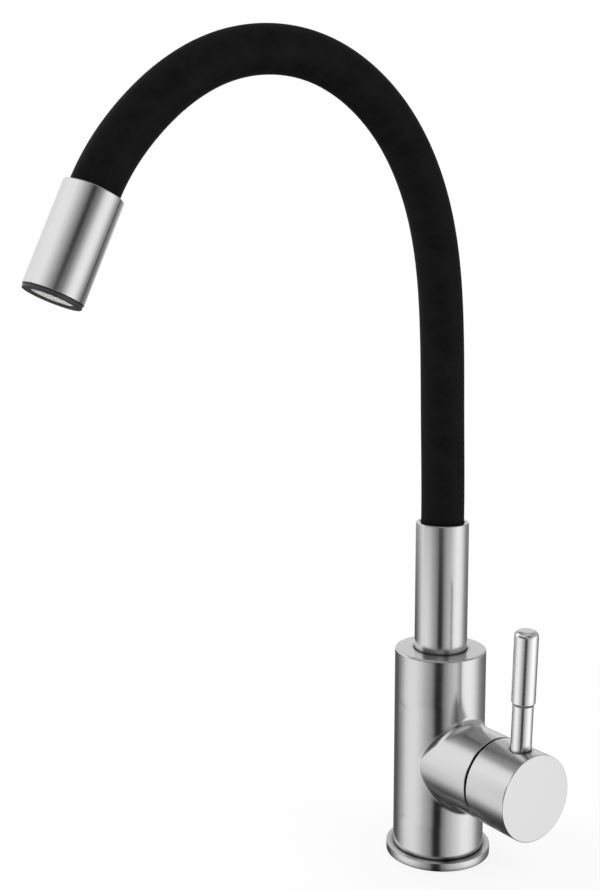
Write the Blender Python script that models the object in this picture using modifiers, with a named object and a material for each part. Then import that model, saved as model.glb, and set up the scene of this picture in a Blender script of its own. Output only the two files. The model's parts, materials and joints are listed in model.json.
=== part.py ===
"""A flexible kitchen faucet: a side-lever mixer with a bendable hose for a spout.

Units are metres and +Z is up. The origin is the centre of the base, on the
worktop. The spout reaches out along -Y and the handle along +X. The hose is cut
into short links that turn on each other like balls in sockets, so it can bend.
"""

import math

import bmesh
import bpy
from mathutils import Matrix, Vector

MM = 0.001

# Clearances and tools shared by all pieces
GAP = 0.3 * MM
OVERRUN = 2.0 * MM
MERGE = 0.001 * MM
SHARP_ANGLE = math.radians(35)
ARC_STEP = math.radians(30)
WIDE_SIDES = 40
ROUND_SIDES = 28
SMALL_SIDES = 20
HOLE_SIDES = 12
HEX_SIDES = 6

# Base
FLANGE_RADIUS = 25.9 * MM
FLANGE_HEIGHT = 4.2 * MM
FLANGE_EDGE = 0.9 * MM
FLANGE_HOLE_RADIUS = 18.0 * MM
GASKET_RADIUS = 19.2 * MM
GASKET_WIDTH = 2.4 * MM
GASKET_HEIGHT = 1.9 * MM

# Body with its side housing
BODY_RADIUS = 22.5 * MM
BODY_HEIGHT = 100.4 * MM
BODY_WALL = 1.5 * MM
BODY_EDGE = 0.8 * MM
BODY_BOTTOM = FLANGE_HEIGHT + GAP
BODY_TOP = BODY_BOTTOM + BODY_HEIGHT
HANDLE_DROP = 53.9 * MM
HANDLE_HEIGHT = BODY_TOP - HANDLE_DROP
HOUSING_RADIUS = 20.56 * MM
HOUSING_REACH = 42.0 * MM
HOUSING_WALL = 1.9 * MM
HOUSING_EDGE = 0.4 * MM
HOUSING_BORE = HOUSING_RADIUS - HOUSING_WALL

# Neck tube and what carries it
NECK_RADIUS = 12.97 * MM
NECK_SHOWING = 63.7 * MM
NECK_SUNK = 25.4 * MM
NECK_BORE = 9.0 * MM
NECK_EDGE = 0.4 * MM
NECK_SEAT_DEPTH = 24.4 * MM
NECK_TOP = BODY_TOP + NECK_SHOWING
NECK_BOTTOM = BODY_TOP - NECK_SUNK
SLIP_RING_WALL = 0.95 * MM
SLIP_RING_HEIGHT = 6.0 * MM
SLIP_RING_TOP = BODY_TOP - BODY_WALL - GAP
SLIP_RING_BOTTOM = SLIP_RING_TOP - SLIP_RING_HEIGHT
SLIP_BORE = NECK_RADIUS + SLIP_RING_WALL + 2 * GAP
CLIP_THICK = 1.5 * MM
CLIP_INSET = 1.1 * MM
CLIP_OPENING = 6.0 * MM
RING_THICK = 1.8 * MM
RING_EDGE = 0.4 * MM
RING_INSET = 1.3 * MM
RING_SPACING = 5.0 * MM
RING_SQUASH = 0.1 * MM
RING_NAMES = ("upper_o_ring", "lower_o_ring")

# Waterway core inside the body
CORE_RADIUS = BODY_RADIUS - BODY_WALL - GAP
CORE_SPIGOT_RADIUS = FLANGE_HOLE_RADIUS - GAP
CORE_BOTTOM = 1.0 * MM
CORE_TOP = BODY_TOP - BODY_WALL - GAP
PORT_RADIUS = 3.0 * MM
INLET_SPREAD = 7.5 * MM
INLET_DROP = 4.0 * MM
OUTLET_RISE = 8.0 * MM
PORTS_X = -1.0 * MM
INLET_SOCKET_RADIUS = 4.7 * MM
INLET_SOCKET_DEPTH = 13.0 * MM
STUD_SOCKET_RADIUS = 3.4 * MM
STUD_SOCKET_DEPTH = 15.0 * MM
STUD_X = 12.0 * MM

# Cartridge, whose pieces follow each other along the handle's axis
CARTRIDGE_DEPTH = 33.0 * MM
SEAT_X = HOUSING_REACH - CARTRIDGE_DEPTH
CARTRIDGE_RADIUS = 17.4 * MM
CARTRIDGE_WALL = 2.9 * MM
CARTRIDGE_BASE_THICK = 6.0 * MM
SEAL_RADIUS = 13.2 * MM
SEAL_THICK = 1.6 * MM
FIXED_DISC_RADIUS = 13.9 * MM
FIXED_DISC_THICK = 2.8 * MM
MOVING_DISC_RADIUS = 10.5 * MM
MOVING_DISC_THICK = 4.5 * MM
MIXING_RADIUS = 7.6 * MM
MIXING_DEPTH = 1.2 * MM
CARRIER_FLANGE = 6.7 * MM
CARRIER_NECK_RADIUS = 8.7 * MM
CARRIER_NECK_LENGTH = 9.0 * MM
CARTRIDGE_SHOULDER = 2.5 * MM
CARTRIDGE_NECK_WALL = 2.0 * MM
PIVOT_SETBACK = 8.0 * MM
PIN_RADIUS = 1.5 * MM
PIN_HALF_LENGTH = 8.1 * MM
NUT_RING_THICK = 4.2 * MM
NUT_HEX_THICK = 3.7 * MM
NUT_HALF_FLATS = 14.0 * MM
CARTRIDGE_BASE_X = SEAT_X + GAP
CARTRIDGE_SHELL_X = CARTRIDGE_BASE_X + CARTRIDGE_BASE_THICK + GAP
MOVING_DISC_X = CARTRIDGE_SHELL_X + FIXED_DISC_THICK + GAP
CARRIER_X = MOVING_DISC_X + MOVING_DISC_THICK + GAP
CARRIER_NECK_X = CARRIER_X + CARRIER_FLANGE
CARRIER_END_X = CARRIER_NECK_X + CARRIER_NECK_LENGTH
CARTRIDGE_NECK_BORE = CARRIER_NECK_RADIUS + GAP
CARTRIDGE_NECK_RADIUS = CARTRIDGE_NECK_BORE + CARTRIDGE_NECK_WALL
CARTRIDGE_TOP_X = CARRIER_NECK_X + GAP + CARTRIDGE_SHOULDER
CARTRIDGE_END_X = CARRIER_END_X + GAP
NUT_X = CARTRIDGE_TOP_X + GAP
NUT_END_X = NUT_X + NUT_RING_THICK + NUT_HEX_THICK
PIVOT_X = CARTRIDGE_END_X - PIVOT_SETBACK

# Cartridge stem, a square bar that tilts on its pin
STEM_HALF = 3.5 * MM
STEM_TIP_HALF_WIDTH = 2.5 * MM
STEM_TIP_HALF_HEIGHT = 2.0 * MM
STEM_TIP_LENGTH = 3.0 * MM
STEM_TIP_ENGAGED = 2.0 * MM
STEM_TIP_PLAY = 0.6 * MM
STEM_REACH = 19.0 * MM
STEM_SWING_ROOM = 2.2 * MM
STEM_X = CARRIER_X + STEM_TIP_PLAY
STEM_END_X = HOUSING_REACH + STEM_REACH

# Handle: cap, lever and its screw
HANDLE_GAP = 1.2 * MM
CAP_LENGTH = 24.9 * MM
CAP_WALL = 2.96 * MM
CAP_FACE = 3.2 * MM
CAP_CHAMFER = 1.0 * MM
CAP_X = HOUSING_REACH + HANDLE_GAP
CAP_END_X = CAP_X + CAP_LENGTH
RELIEF_DROP = 3.0 * MM
RELIEF_DEPTH = 3.8 * MM
HUB_RADIUS = 8.0 * MM
HUB_SETBACK = 4.3 * MM
SCREW_RADIUS = 2.5 * MM
SCREW_LENGTH = 6.0 * MM
SCREW_HEX_RADIUS = 1.4 * MM
SCREW_HEX_DEPTH = 2.5 * MM
SCREW_SETBACK = 8.8 * MM
SCREW_X = CAP_X + SCREW_SETBACK
LEVER_SETBACK = 13.9 * MM
LEVER_X = CAP_X + LEVER_SETBACK
LEVER_LEAN = math.radians(2)
LEVER_RADIUS = 4.9 * MM
LEVER_SPIGOT_RADIUS = 3.5 * MM
LEVER_SINK = 0.6 * MM
GRIP_START = 42.3 * MM
GRIP_LENGTH = 35.3 * MM
GRIP_RADIUS = 5.6 * MM
GRIP_EDGE = 2.4 * MM
GRIP_TAPER = 0.8 * MM
GRIP_END_WALL = 4.5 * MM
GRIP_PIN_RADIUS = 3.3 * MM

# Hose: a silicone sleeve over a wound steel core, with a water tube inside
SLEEVE_RADIUS = 10.5 * MM
SLEEVE_BORE = 7.5 * MM
WINDING_RADIUS = SLEEVE_BORE - GAP
WINDING_BORE = 4.4 * MM
TUBE_RADIUS = WINDING_BORE - GAP
TUBE_BORE = 2.9 * MM
SLEEVE_SIDES = 20
WINDING_SIDES = 12
TUBE_SIDES = 8
LINK_LENGTH = 48.0 * MM
LAST_LINK_LENGTH = 38.0 * MM
BALL_PLAY = 0.4 * MM
CUP_RADIUS = SLEEVE_RADIUS + BALL_PLAY
CUP_MARGIN = 0.2 * MM
FIRST_JOINT_RISE = 3.8 * MM
SLEEVE_SUNK = 14.4 * MM
FERRULE_LENGTH = 9.4 * MM
TUBE_TAIL = 5.0 * MM
BEND_STEP = math.radians(12.1)
# How far each link bends at rest, in degrees, from the neck to the outlet
LINK_BENDS = (2.0, 0.0, 12.0, 24.5, 32.5, 35.5, 28.0, 21.0)
# Which joints bend the hose sideways, counted from the neck
SIDEWAYS_JOINTS = (3, 6)

# Outlet at the hose's end, measured along its own axis from its upper rim
OUTLET_RADIUS = 12.75 * MM
OUTLET_LENGTH = 45.8 * MM
OUTLET_EDGE = 0.4 * MM
OUTLET_HOSE_DEPTH = 10.0 * MM
OUTLET_THROAT = 8.0 * MM
OUTLET_THREAD_BORE = 11.4 * MM
OUTLET_THREAD_DEPTH = 10.3 * MM
AERATOR_LIP = 1.5 * MM
AERATOR_LIP_INSET = 0.4 * MM
AERATOR_WALL = 1.6 * MM
AERATOR_GASKET_THICK = 1.8 * MM
AERATOR_SCREEN_THICK = 0.7 * MM
AERATOR_INSERT_THICK = 5.5 * MM
AERATOR_RECESS = 0.9 * MM
AERATOR_CELL_RADIUS = 1.25 * MM
AERATOR_CELL_PITCH = 3.4 * MM
AERATOR_CELL_RINGS = 2
SCREEN_CELL_RADIUS = 1.9 * MM
SCREEN_CELL_PITCH = 5.0 * MM
SCREEN_CELL_RINGS = 1


def clear_scene():
    for obj in list(bpy.data.objects):
        bpy.data.objects.remove(obj, do_unlink=True)


def new_collection(name):
    collection = bpy.data.collections.new(name)
    bpy.context.scene.collection.children.link(collection)
    return collection


def principled(name, colour, roughness, metallic):
    material = bpy.data.materials.new(name)
    material.use_nodes = True
    shader = material.node_tree.nodes["Principled BSDF"]
    shader.inputs["Base Color"].default_value = (*colour, 1.0)
    shader.inputs["Roughness"].default_value = roughness
    shader.inputs["Metallic"].default_value = metallic
    material.diffuse_color = (*colour, 1.0)
    return material


clear_scene()
FAUCET = new_collection("flexible_kitchen_faucet")
CUTTERS = new_collection("cutters")

BRUSHED_STEEL = ("brushed_steel", (0.66, 0.66, 0.65), 0.32, 1.0)
BRASS = ("brass", (0.72, 0.55, 0.30), 0.40, 1.0)
SILICONE = ("black_silicone", (0.012, 0.012, 0.012), 0.55, 0.0)
RUBBER = ("black_rubber", (0.02, 0.02, 0.02), 0.70, 0.0)
PLASTIC = ("white_plastic", (0.80, 0.80, 0.78), 0.45, 0.0)
DARK_PLASTIC = ("dark_plastic", (0.05, 0.05, 0.05), 0.50, 0.0)
CERAMIC = ("ceramic", (0.88, 0.86, 0.82), 0.20, 0.0)
WOUND_STEEL = ("wound_steel", (0.45, 0.45, 0.45), 0.45, 1.0)
TUBING = ("tubing", (0.75, 0.74, 0.70), 0.50, 0.0)


def finish(obj, look):
    """Give the object its own material, and shade its round sides smooth."""
    name, colour, roughness, metallic = look
    obj.data.materials.clear()
    obj.data.materials.append(principled(f"{obj.name}_{name}", colour, roughness, metallic))
    obj.data.shade_smooth()
    obj.data.set_sharp_from_angle(angle=SHARP_ANGLE)
    return obj


def bake(obj):
    """Replace the object's mesh by what its modifiers make of it."""
    bpy.context.view_layer.update()
    graph = bpy.context.evaluated_depsgraph_get()
    mesh = bpy.data.meshes.new_from_object(obj.evaluated_get(graph), depsgraph=graph)
    outline = obj.data
    obj.modifiers.clear()
    obj.data = mesh
    bpy.data.meshes.remove(outline)
    mesh.name = obj.name


def turned(name, outline, look, sides, frame=None, closed=False):
    """A turned piece. The outline's points are (radius, height), down the outer side.

    A closed outline makes a ring. An open one starts and ends on the axis.
    """
    mesh = bpy.data.meshes.new(name)
    edges = [(i, i + 1) for i in range(len(outline) - 1)]
    if closed:
        edges.append((len(outline) - 1, 0))
    mesh.from_pydata([(radius, 0, height) for radius, height in outline], edges, [])
    obj = bpy.data.objects.new(name, mesh)
    FAUCET.objects.link(obj)
    screw = obj.modifiers.new("turn", "SCREW")
    screw.steps = sides
    screw.render_steps = sides
    screw.use_merge_vertices = True
    screw.merge_threshold = MERGE
    bake(obj)
    work = bmesh.new()
    work.from_mesh(obj.data)
    bmesh.ops.remove_doubles(work, verts=work.verts, dist=MERGE)
    bmesh.ops.recalc_face_normals(work, faces=work.faces)
    work.to_mesh(obj.data)
    work.free()
    obj.matrix_world = frame or Matrix.Identity(4)
    return finish(obj, look)


def rounded(corner, radius, start, end, steps=2):
    """Points of an arc about a centre, from one angle to another, in degrees."""
    x, y = corner
    angles = [math.radians(start + (end - start) * i / steps) for i in range(steps + 1)]
    return [(x + radius * math.cos(a), y + radius * math.sin(a)) for a in angles]


def ring_outline(inner, outer, bottom, top, edge=0.0):
    """A ring's closed outline, with its two outer edges cut back if edge is given."""
    if not edge:
        return [(outer, top), (outer, bottom), (inner, bottom), (inner, top)]
    return [
        (outer - edge, top),
        (outer, top - edge),
        (outer, bottom + edge),
        (outer - edge, bottom),
        (inner, bottom),
        (inner, top),
    ]


def between(start, end):
    """The frame whose origin is midway between two points, with +Z along them."""
    start, end = Vector(start), Vector(end)
    along = end - start
    turn = along.to_track_quat("Z", "Y").to_matrix().to_4x4()
    return Matrix.Translation((start + end) / 2) @ turn


def helper(name, mesh, frame):
    """An object that only cuts or joins: never rendered, drawn as wire."""
    obj = bpy.data.objects.new(name, mesh)
    CUTTERS.objects.link(obj)
    obj.matrix_world = frame
    obj.hide_render = True
    obj.display_type = "WIRE"
    return obj


def cylinder(name, radius, start, end, sides=HOLE_SIDES, phase=0.0):
    """A cylinder between two points, to cut or to join with."""
    work = bmesh.new()
    depth = (Vector(end) - Vector(start)).length
    bmesh.ops.create_cone(
        work, cap_ends=True, segments=sides, radius1=radius, radius2=radius, depth=depth
    )
    bmesh.ops.rotate(work, verts=work.verts, matrix=Matrix.Rotation(phase, 3, "Z"))
    mesh = bpy.data.meshes.new(name)
    work.to_mesh(mesh)
    work.free()
    return helper(name, mesh, between(start, end))


def box(name, low, high, frame=None):
    """A box between two corners, to cut or to join with."""
    low, high = Vector(low), Vector(high)
    work = bmesh.new()
    bmesh.ops.create_cube(work, size=1.0)
    bmesh.ops.scale(work, vec=high - low, verts=work.verts)
    bmesh.ops.translate(work, vec=(low + high) / 2, verts=work.verts)
    mesh = bpy.data.meshes.new(name)
    work.to_mesh(mesh)
    work.free()
    return helper(name, mesh, frame or Matrix.Identity(4))


def combine(obj, tool, operation="DIFFERENCE"):
    step = obj.modifiers.new(tool.name, "BOOLEAN")
    step.object = tool
    step.operation = operation
    step.solver = "EXACT"


def cut(obj, *tools):
    for tool in tools:
        combine(obj, tool)


def tool_from(piece):
    """Turn a piece into a helper shape."""
    FAUCET.objects.unlink(piece)
    CUTTERS.objects.link(piece)
    piece.hide_render = True
    piece.display_type = "WIRE"
    return piece


def solid_from(tool, name, look):
    """Turn a helper shape into a piece of the faucet."""
    CUTTERS.objects.unlink(tool)
    FAUCET.objects.link(tool)
    tool.name = name
    tool.data.name = name
    tool.hide_render = False
    tool.display_type = "TEXTURED"
    return finish(tool, look)


def copies(name, pattern, frames):
    """One object that holds a separate copy of the pattern's mesh in each frame."""
    work = bmesh.new()
    for frame in frames:
        first = len(work.verts)
        work.from_mesh(pattern.data)
        work.verts.ensure_lookup_table()
        bmesh.ops.transform(work, matrix=frame, verts=work.verts[first:])
    mesh = bpy.data.meshes.new(name)
    work.to_mesh(mesh)
    work.free()
    spare = pattern.data
    pattern.data = mesh
    bpy.data.meshes.remove(spare)
    pattern.name = name
    return pattern


def along_x():
    """The handle's frame: local +Z runs along +X at the handle's height."""
    return Matrix.Translation((0, 0, HANDLE_HEIGHT)) @ Matrix.Rotation(math.pi / 2, 4, "Y")


def on_axis(x, y=0.0, rise=0.0):
    """A point by its distance along the handle's axis and its offsets from it."""
    return (x, y, HANDLE_HEIGHT + rise)


def port_places():
    """Offsets of the cold and hot inlets and the outlet from the handle's axis."""
    return ((-INLET_SPREAD, -INLET_DROP), (INLET_SPREAD, -INLET_DROP), (0.0, OUTLET_RISE))


def port_holes(name, radius, start_x, end_x):
    return [
        cylinder(f"{name}_{i}", radius, on_axis(start_x, y, rise), on_axis(end_x, y, rise))
        for i, (y, rise) in enumerate(port_places())
    ]


def base_pieces():
    edge = rounded((FLANGE_RADIUS - FLANGE_EDGE, FLANGE_HEIGHT - FLANGE_EDGE), FLANGE_EDGE, 90, 0)
    groove_inner = GASKET_RADIUS - GAP
    groove_outer = GASKET_RADIUS + GASKET_WIDTH + GAP
    groove_top = GASKET_HEIGHT + GAP
    outline = [
        (FLANGE_HOLE_RADIUS, FLANGE_HEIGHT),
        *edge,
        (FLANGE_RADIUS, 0),
        (groove_outer, 0),
        (groove_outer, groove_top),
        (groove_inner, groove_top),
        (groove_inner, 0),
        (FLANGE_HOLE_RADIUS, 0),
    ]
    turned("base_flange", outline, BRUSHED_STEEL, WIDE_SIDES, closed=True)
    outer = GASKET_RADIUS + GASKET_WIDTH
    outline = ring_outline(GASKET_RADIUS, outer, 0, GASKET_HEIGHT)
    turned("base_gasket", outline, RUBBER, WIDE_SIDES, closed=True)


def body_shell():
    edge = rounded((BODY_RADIUS - BODY_EDGE, BODY_TOP - BODY_EDGE), BODY_EDGE, 90, 0)
    outline = [(0, BODY_TOP), *edge, (BODY_RADIUS, BODY_BOTTOM), (0, BODY_BOTTOM)]
    body = turned("body_shell", outline, BRUSHED_STEEL, WIDE_SIDES)
    outline = [
        (0, HOUSING_REACH),
        (HOUSING_RADIUS - HOUSING_EDGE, HOUSING_REACH),
        (HOUSING_RADIUS, HOUSING_REACH - HOUSING_EDGE),
        (HOUSING_RADIUS, 0),
        (0, 0),
    ]
    housing = turned("housing_shape", outline, BRUSHED_STEEL, WIDE_SIDES, along_x())
    combine(body, tool_from(housing), "UNION")
    inside = BODY_RADIUS - BODY_WALL
    cut(
        body,
        cylinder(
            "body_cavity",
            inside,
            (0, 0, BODY_BOTTOM - OVERRUN),
            (0, 0, BODY_TOP - BODY_WALL),
            WIDE_SIDES,
        ),
        cylinder(
            "body_top_hole",
            NECK_RADIUS + GAP,
            (0, 0, NECK_BOTTOM),
            (0, 0, BODY_TOP + OVERRUN),
            ROUND_SIDES,
        ),
        cylinder(
            "housing_bore", HOUSING_BORE, on_axis(0), on_axis(HOUSING_REACH + OVERRUN), WIDE_SIDES
        ),
    )


def waterway_core():
    outline = [
        (0, CORE_TOP),
        (CORE_RADIUS, CORE_TOP),
        (CORE_RADIUS, BODY_BOTTOM),
        (CORE_SPIGOT_RADIUS, BODY_BOTTOM),
        (CORE_SPIGOT_RADIUS, CORE_BOTTOM),
        (0, CORE_BOTTOM),
    ]
    core = turned("waterway_core", outline, BRASS, WIDE_SIDES)
    neck_floor = NECK_BOTTOM - GAP
    slip_floor = SLIP_RING_BOTTOM - GAP - CLIP_THICK - GAP
    above = CORE_TOP + OVERRUN
    pocket = CARTRIDGE_RADIUS + GAP
    past_core = CORE_RADIUS + OVERRUN
    below = CORE_BOTTOM - OVERRUN
    into_pocket = SEAT_X + OVERRUN
    outlet_top = neck_floor + OVERRUN
    outlet_start = on_axis(PORTS_X, 0, OUTLET_RISE)
    cut(
        core,
        cylinder("neck_socket", NECK_RADIUS + GAP, (0, 0, neck_floor), (0, 0, above), ROUND_SIDES),
        cylinder("slip_socket", SLIP_BORE, (0, 0, slip_floor), (0, 0, above), ROUND_SIDES),
        cylinder("cartridge_pocket", pocket, on_axis(SEAT_X), on_axis(past_core), WIDE_SIDES),
        cylinder("outlet_rise", PORT_RADIUS, outlet_start, (PORTS_X, 0, outlet_top)),
        cylinder("outlet_run", PORT_RADIUS, outlet_start, on_axis(into_pocket, 0, OUTLET_RISE)),
    )
    for water, y in (("cold", -INLET_SPREAD), ("hot", INLET_SPREAD)):
        top = on_axis(PORTS_X, y, -INLET_DROP)
        socket_top = CORE_BOTTOM + INLET_SOCKET_DEPTH
        cut(
            core,
            cylinder(f"{water}_rise", PORT_RADIUS, (PORTS_X, y, below), top),
            cylinder(f"{water}_run", PORT_RADIUS, top, on_axis(into_pocket, y, -INLET_DROP)),
            cylinder(
                f"{water}_socket",
                INLET_SOCKET_RADIUS,
                (PORTS_X, y, below),
                (PORTS_X, y, socket_top),
                SMALL_SIDES,
            ),
        )
    stud_top = CORE_BOTTOM + STUD_SOCKET_DEPTH
    cut(core, cylinder("stud_socket", STUD_SOCKET_RADIUS, (STUD_X, 0, below), (STUD_X, 0, stud_top)))


def cartridge_fixed_pieces():
    start, end = CARTRIDGE_BASE_X, CARTRIDGE_BASE_X + CARTRIDGE_BASE_THICK
    seal_end = start + SEAL_THICK
    recess = SEAL_RADIUS + GAP
    outline = [
        (0, end),
        (CARTRIDGE_RADIUS, end),
        (CARTRIDGE_RADIUS, start),
        (recess, start),
        (recess, seal_end + GAP),
        (0, seal_end + GAP),
    ]
    base = turned("cartridge_base", outline, PLASTIC, ROUND_SIDES, along_x())
    cut(base, *port_holes("base_port", PORT_RADIUS, start, end + OVERRUN))

    outline = [(0, seal_end), (SEAL_RADIUS, seal_end), (SEAL_RADIUS, start), (0, start)]
    seal = turned("cartridge_seal", outline, RUBBER, ROUND_SIDES, along_x())
    cut(seal, *port_holes("seal_port", PORT_RADIUS, start - OVERRUN, seal_end + OVERRUN))

    start, end = CARTRIDGE_SHELL_X, CARTRIDGE_SHELL_X + FIXED_DISC_THICK
    outline = [(0, end), (FIXED_DISC_RADIUS, end), (FIXED_DISC_RADIUS, start), (0, start)]
    disc = turned("fixed_disc", outline, CERAMIC, ROUND_SIDES, along_x())
    cut(disc, *port_holes("disc_port", PORT_RADIUS - GAP, start - OVERRUN, end + OVERRUN))

    chamber = CARTRIDGE_RADIUS - CARTRIDGE_WALL
    outline = [
        (CARTRIDGE_NECK_RADIUS, CARTRIDGE_END_X),
        (CARTRIDGE_NECK_RADIUS, CARTRIDGE_TOP_X),
        (CARTRIDGE_RADIUS, CARTRIDGE_TOP_X),
        (CARTRIDGE_RADIUS, CARTRIDGE_SHELL_X),
        (chamber, CARTRIDGE_SHELL_X),
        (chamber, CARRIER_NECK_X + GAP),
        (CARTRIDGE_NECK_BORE, CARRIER_NECK_X + GAP),
        (CARTRIDGE_NECK_BORE, CARTRIDGE_END_X),
    ]
    turned("cartridge_shell", outline, PLASTIC, ROUND_SIDES, along_x(), closed=True)


def cartridge_nut():
    ring_end = NUT_X + NUT_RING_THICK
    thread = HOUSING_BORE - GAP
    outline = [(0, ring_end), (thread, ring_end), (thread, NUT_X), (0, NUT_X)]
    nut = turned("cartridge_nut", outline, BRASS, WIDE_SIDES, along_x())
    corner = NUT_HALF_FLATS / math.cos(math.pi / HEX_SIDES)
    ends = on_axis(NUT_X + OVERRUN), on_axis(NUT_END_X)
    hexagon = cylinder("nut_hexagon", corner, *ends, HEX_SIDES)
    combine(nut, hexagon, "UNION")
    bore = CARTRIDGE_NECK_RADIUS + GAP
    ends = on_axis(NUT_X - OVERRUN), on_axis(NUT_END_X + OVERRUN)
    cut(nut, cylinder("nut_bore", bore, *ends, ROUND_SIDES))


def moving_disc():
    start, end = MOVING_DISC_X, MOVING_DISC_X + MOVING_DISC_THICK
    outline = [
        (0, end),
        (MOVING_DISC_RADIUS, end),
        (MOVING_DISC_RADIUS, start),
        (MIXING_RADIUS, start),
        (MIXING_RADIUS, start + MIXING_DEPTH),
        (0, start + MIXING_DEPTH),
    ]
    disc = turned("moving_disc", outline, CERAMIC, SMALL_SIDES, along_x())
    half_width = STEM_TIP_HALF_WIDTH + GAP
    half_height = STEM_TIP_HALF_HEIGHT + STEM_TIP_PLAY
    floor = end - STEM_TIP_ENGAGED - STEM_TIP_PLAY
    cut(
        disc,
        box(
            "stem_pocket",
            on_axis(floor, -half_width, -half_height),
            on_axis(end + OVERRUN, half_width, half_height),
        ),
    )
    return disc


def stem_carrier():
    chamber = CARTRIDGE_RADIUS - CARTRIDGE_WALL - 2 * GAP
    outline = [
        (0, CARRIER_END_X),
        (CARRIER_NECK_RADIUS, CARRIER_END_X),
        (CARRIER_NECK_RADIUS, CARRIER_NECK_X),
        (chamber, CARRIER_NECK_X),
        (chamber, CARRIER_X),
        (0, CARRIER_X),
    ]
    carrier = turned("stem_carrier", outline, DARK_PLASTIC, ROUND_SIDES, along_x())
    half_width = STEM_HALF + GAP
    half_height = STEM_HALF + STEM_SWING_ROOM
    slot = box(
        "stem_slot",
        on_axis(CARRIER_X - OVERRUN, -half_width, -half_height),
        on_axis(CARRIER_END_X + OVERRUN, half_width, half_height),
    )
    side = CARRIER_NECK_RADIUS + GAP
    hole = cylinder("carrier_pin_hole", PIN_RADIUS + GAP, on_axis(PIVOT_X, -side), on_axis(PIVOT_X, side))
    cut(carrier, slot, hole)
    ends = on_axis(PIVOT_X, -PIN_HALF_LENGTH), on_axis(PIVOT_X, PIN_HALF_LENGTH)
    pin = solid_from(cylinder("stem_pin", PIN_RADIUS, *ends), "stem_pin", WOUND_STEEL)
    return carrier, pin


def cartridge_stem():
    tip_x = STEM_X - STEM_TIP_LENGTH
    tip = box(
        "stem_tip_shape",
        on_axis(tip_x, -STEM_TIP_HALF_WIDTH, -STEM_TIP_HALF_HEIGHT),
        on_axis(STEM_X + OVERRUN, STEM_TIP_HALF_WIDTH, STEM_TIP_HALF_HEIGHT),
    )
    bar = box(
        "stem_bar",
        on_axis(STEM_X, -STEM_HALF, -STEM_HALF),
        on_axis(STEM_END_X, STEM_HALF, STEM_HALF),
    )
    stem = solid_from(bar, "cartridge_stem", BRASS)
    combine(stem, tip, "UNION")
    side = STEM_HALF + OVERRUN
    ends = on_axis(PIVOT_X, -side), on_axis(PIVOT_X, side)
    cut(stem, cylinder("stem_pin_hole", PIN_RADIUS + GAP, *ends))
    return stem


def lever_frame():
    """Local +Z runs up the lever from the handle's axis."""
    return Matrix.Translation(on_axis(LEVER_X)) @ Matrix.Rotation(LEVER_LEAN, 4, "Y")


def handle_cap():
    wall_bore = HOUSING_RADIUS - CAP_WALL
    face_x = CAP_END_X - CAP_FACE
    hub_x = CAP_X + HUB_SETBACK
    outline = [
        (0, CAP_END_X),
        (HOUSING_RADIUS - CAP_CHAMFER, CAP_END_X),
        (HOUSING_RADIUS, CAP_END_X - CAP_CHAMFER),
        (HOUSING_RADIUS, CAP_X),
        (wall_bore, CAP_X),
        (wall_bore, face_x),
        (HUB_RADIUS, face_x),
        (HUB_RADIUS, hub_x),
        (0, hub_x),
    ]
    cap = turned("handle_cap", outline, BRUSHED_STEEL, WIDE_SIDES, along_x())
    socket_half = STEM_HALF + GAP
    slope = math.atan2(RELIEF_DEPTH, HOUSING_RADIUS - RELIEF_DROP)
    relief = Matrix.Translation(on_axis(CAP_X, 0, -RELIEF_DROP)) @ Matrix.Rotation(-slope, 4, "Y")
    wide = HOUSING_RADIUS + OVERRUN
    lever = lever_frame()
    cut(
        cap,
        box(
            "stem_socket",
            on_axis(hub_x - OVERRUN, -socket_half, -socket_half),
            on_axis(STEM_END_X + GAP, socket_half, socket_half),
        ),
        box("tilt_relief", (-2 * wide, -wide, -2 * wide), (0, wide, 0), relief),
        cylinder(
            "lever_hole",
            LEVER_RADIUS + GAP,
            lever @ Vector((0, 0, wall_bore - OVERRUN)),
            lever @ Vector((0, 0, wide)),
            SMALL_SIDES,
        ),
        cylinder(
            "spigot_hole",
            LEVER_SPIGOT_RADIUS + GAP,
            lever @ Vector((0, 0, STEM_HALF)),
            lever @ Vector((0, 0, HUB_RADIUS + OVERRUN)),
        ),
        cylinder(
            "screw_hole", SCREW_RADIUS + GAP, on_axis(SCREW_X, 0, -STEM_HALF), on_axis(SCREW_X, 0, -wide)
        ),
    )
    return cap


def handle_screw():
    top = -STEM_HALF - GAP
    screw = solid_from(
        cylinder(
            "screw_shape", SCREW_RADIUS, on_axis(SCREW_X, 0, top), on_axis(SCREW_X, 0, top - SCREW_LENGTH)
        ),
        "handle_screw",
        WOUND_STEEL,
    )
    bottom = top - SCREW_LENGTH
    ends = on_axis(SCREW_X, 0, bottom - OVERRUN), on_axis(SCREW_X, 0, bottom + SCREW_HEX_DEPTH)
    cut(screw, cylinder("screw_hexagon", SCREW_HEX_RADIUS, *ends, HEX_SIDES))
    return screw


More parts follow.
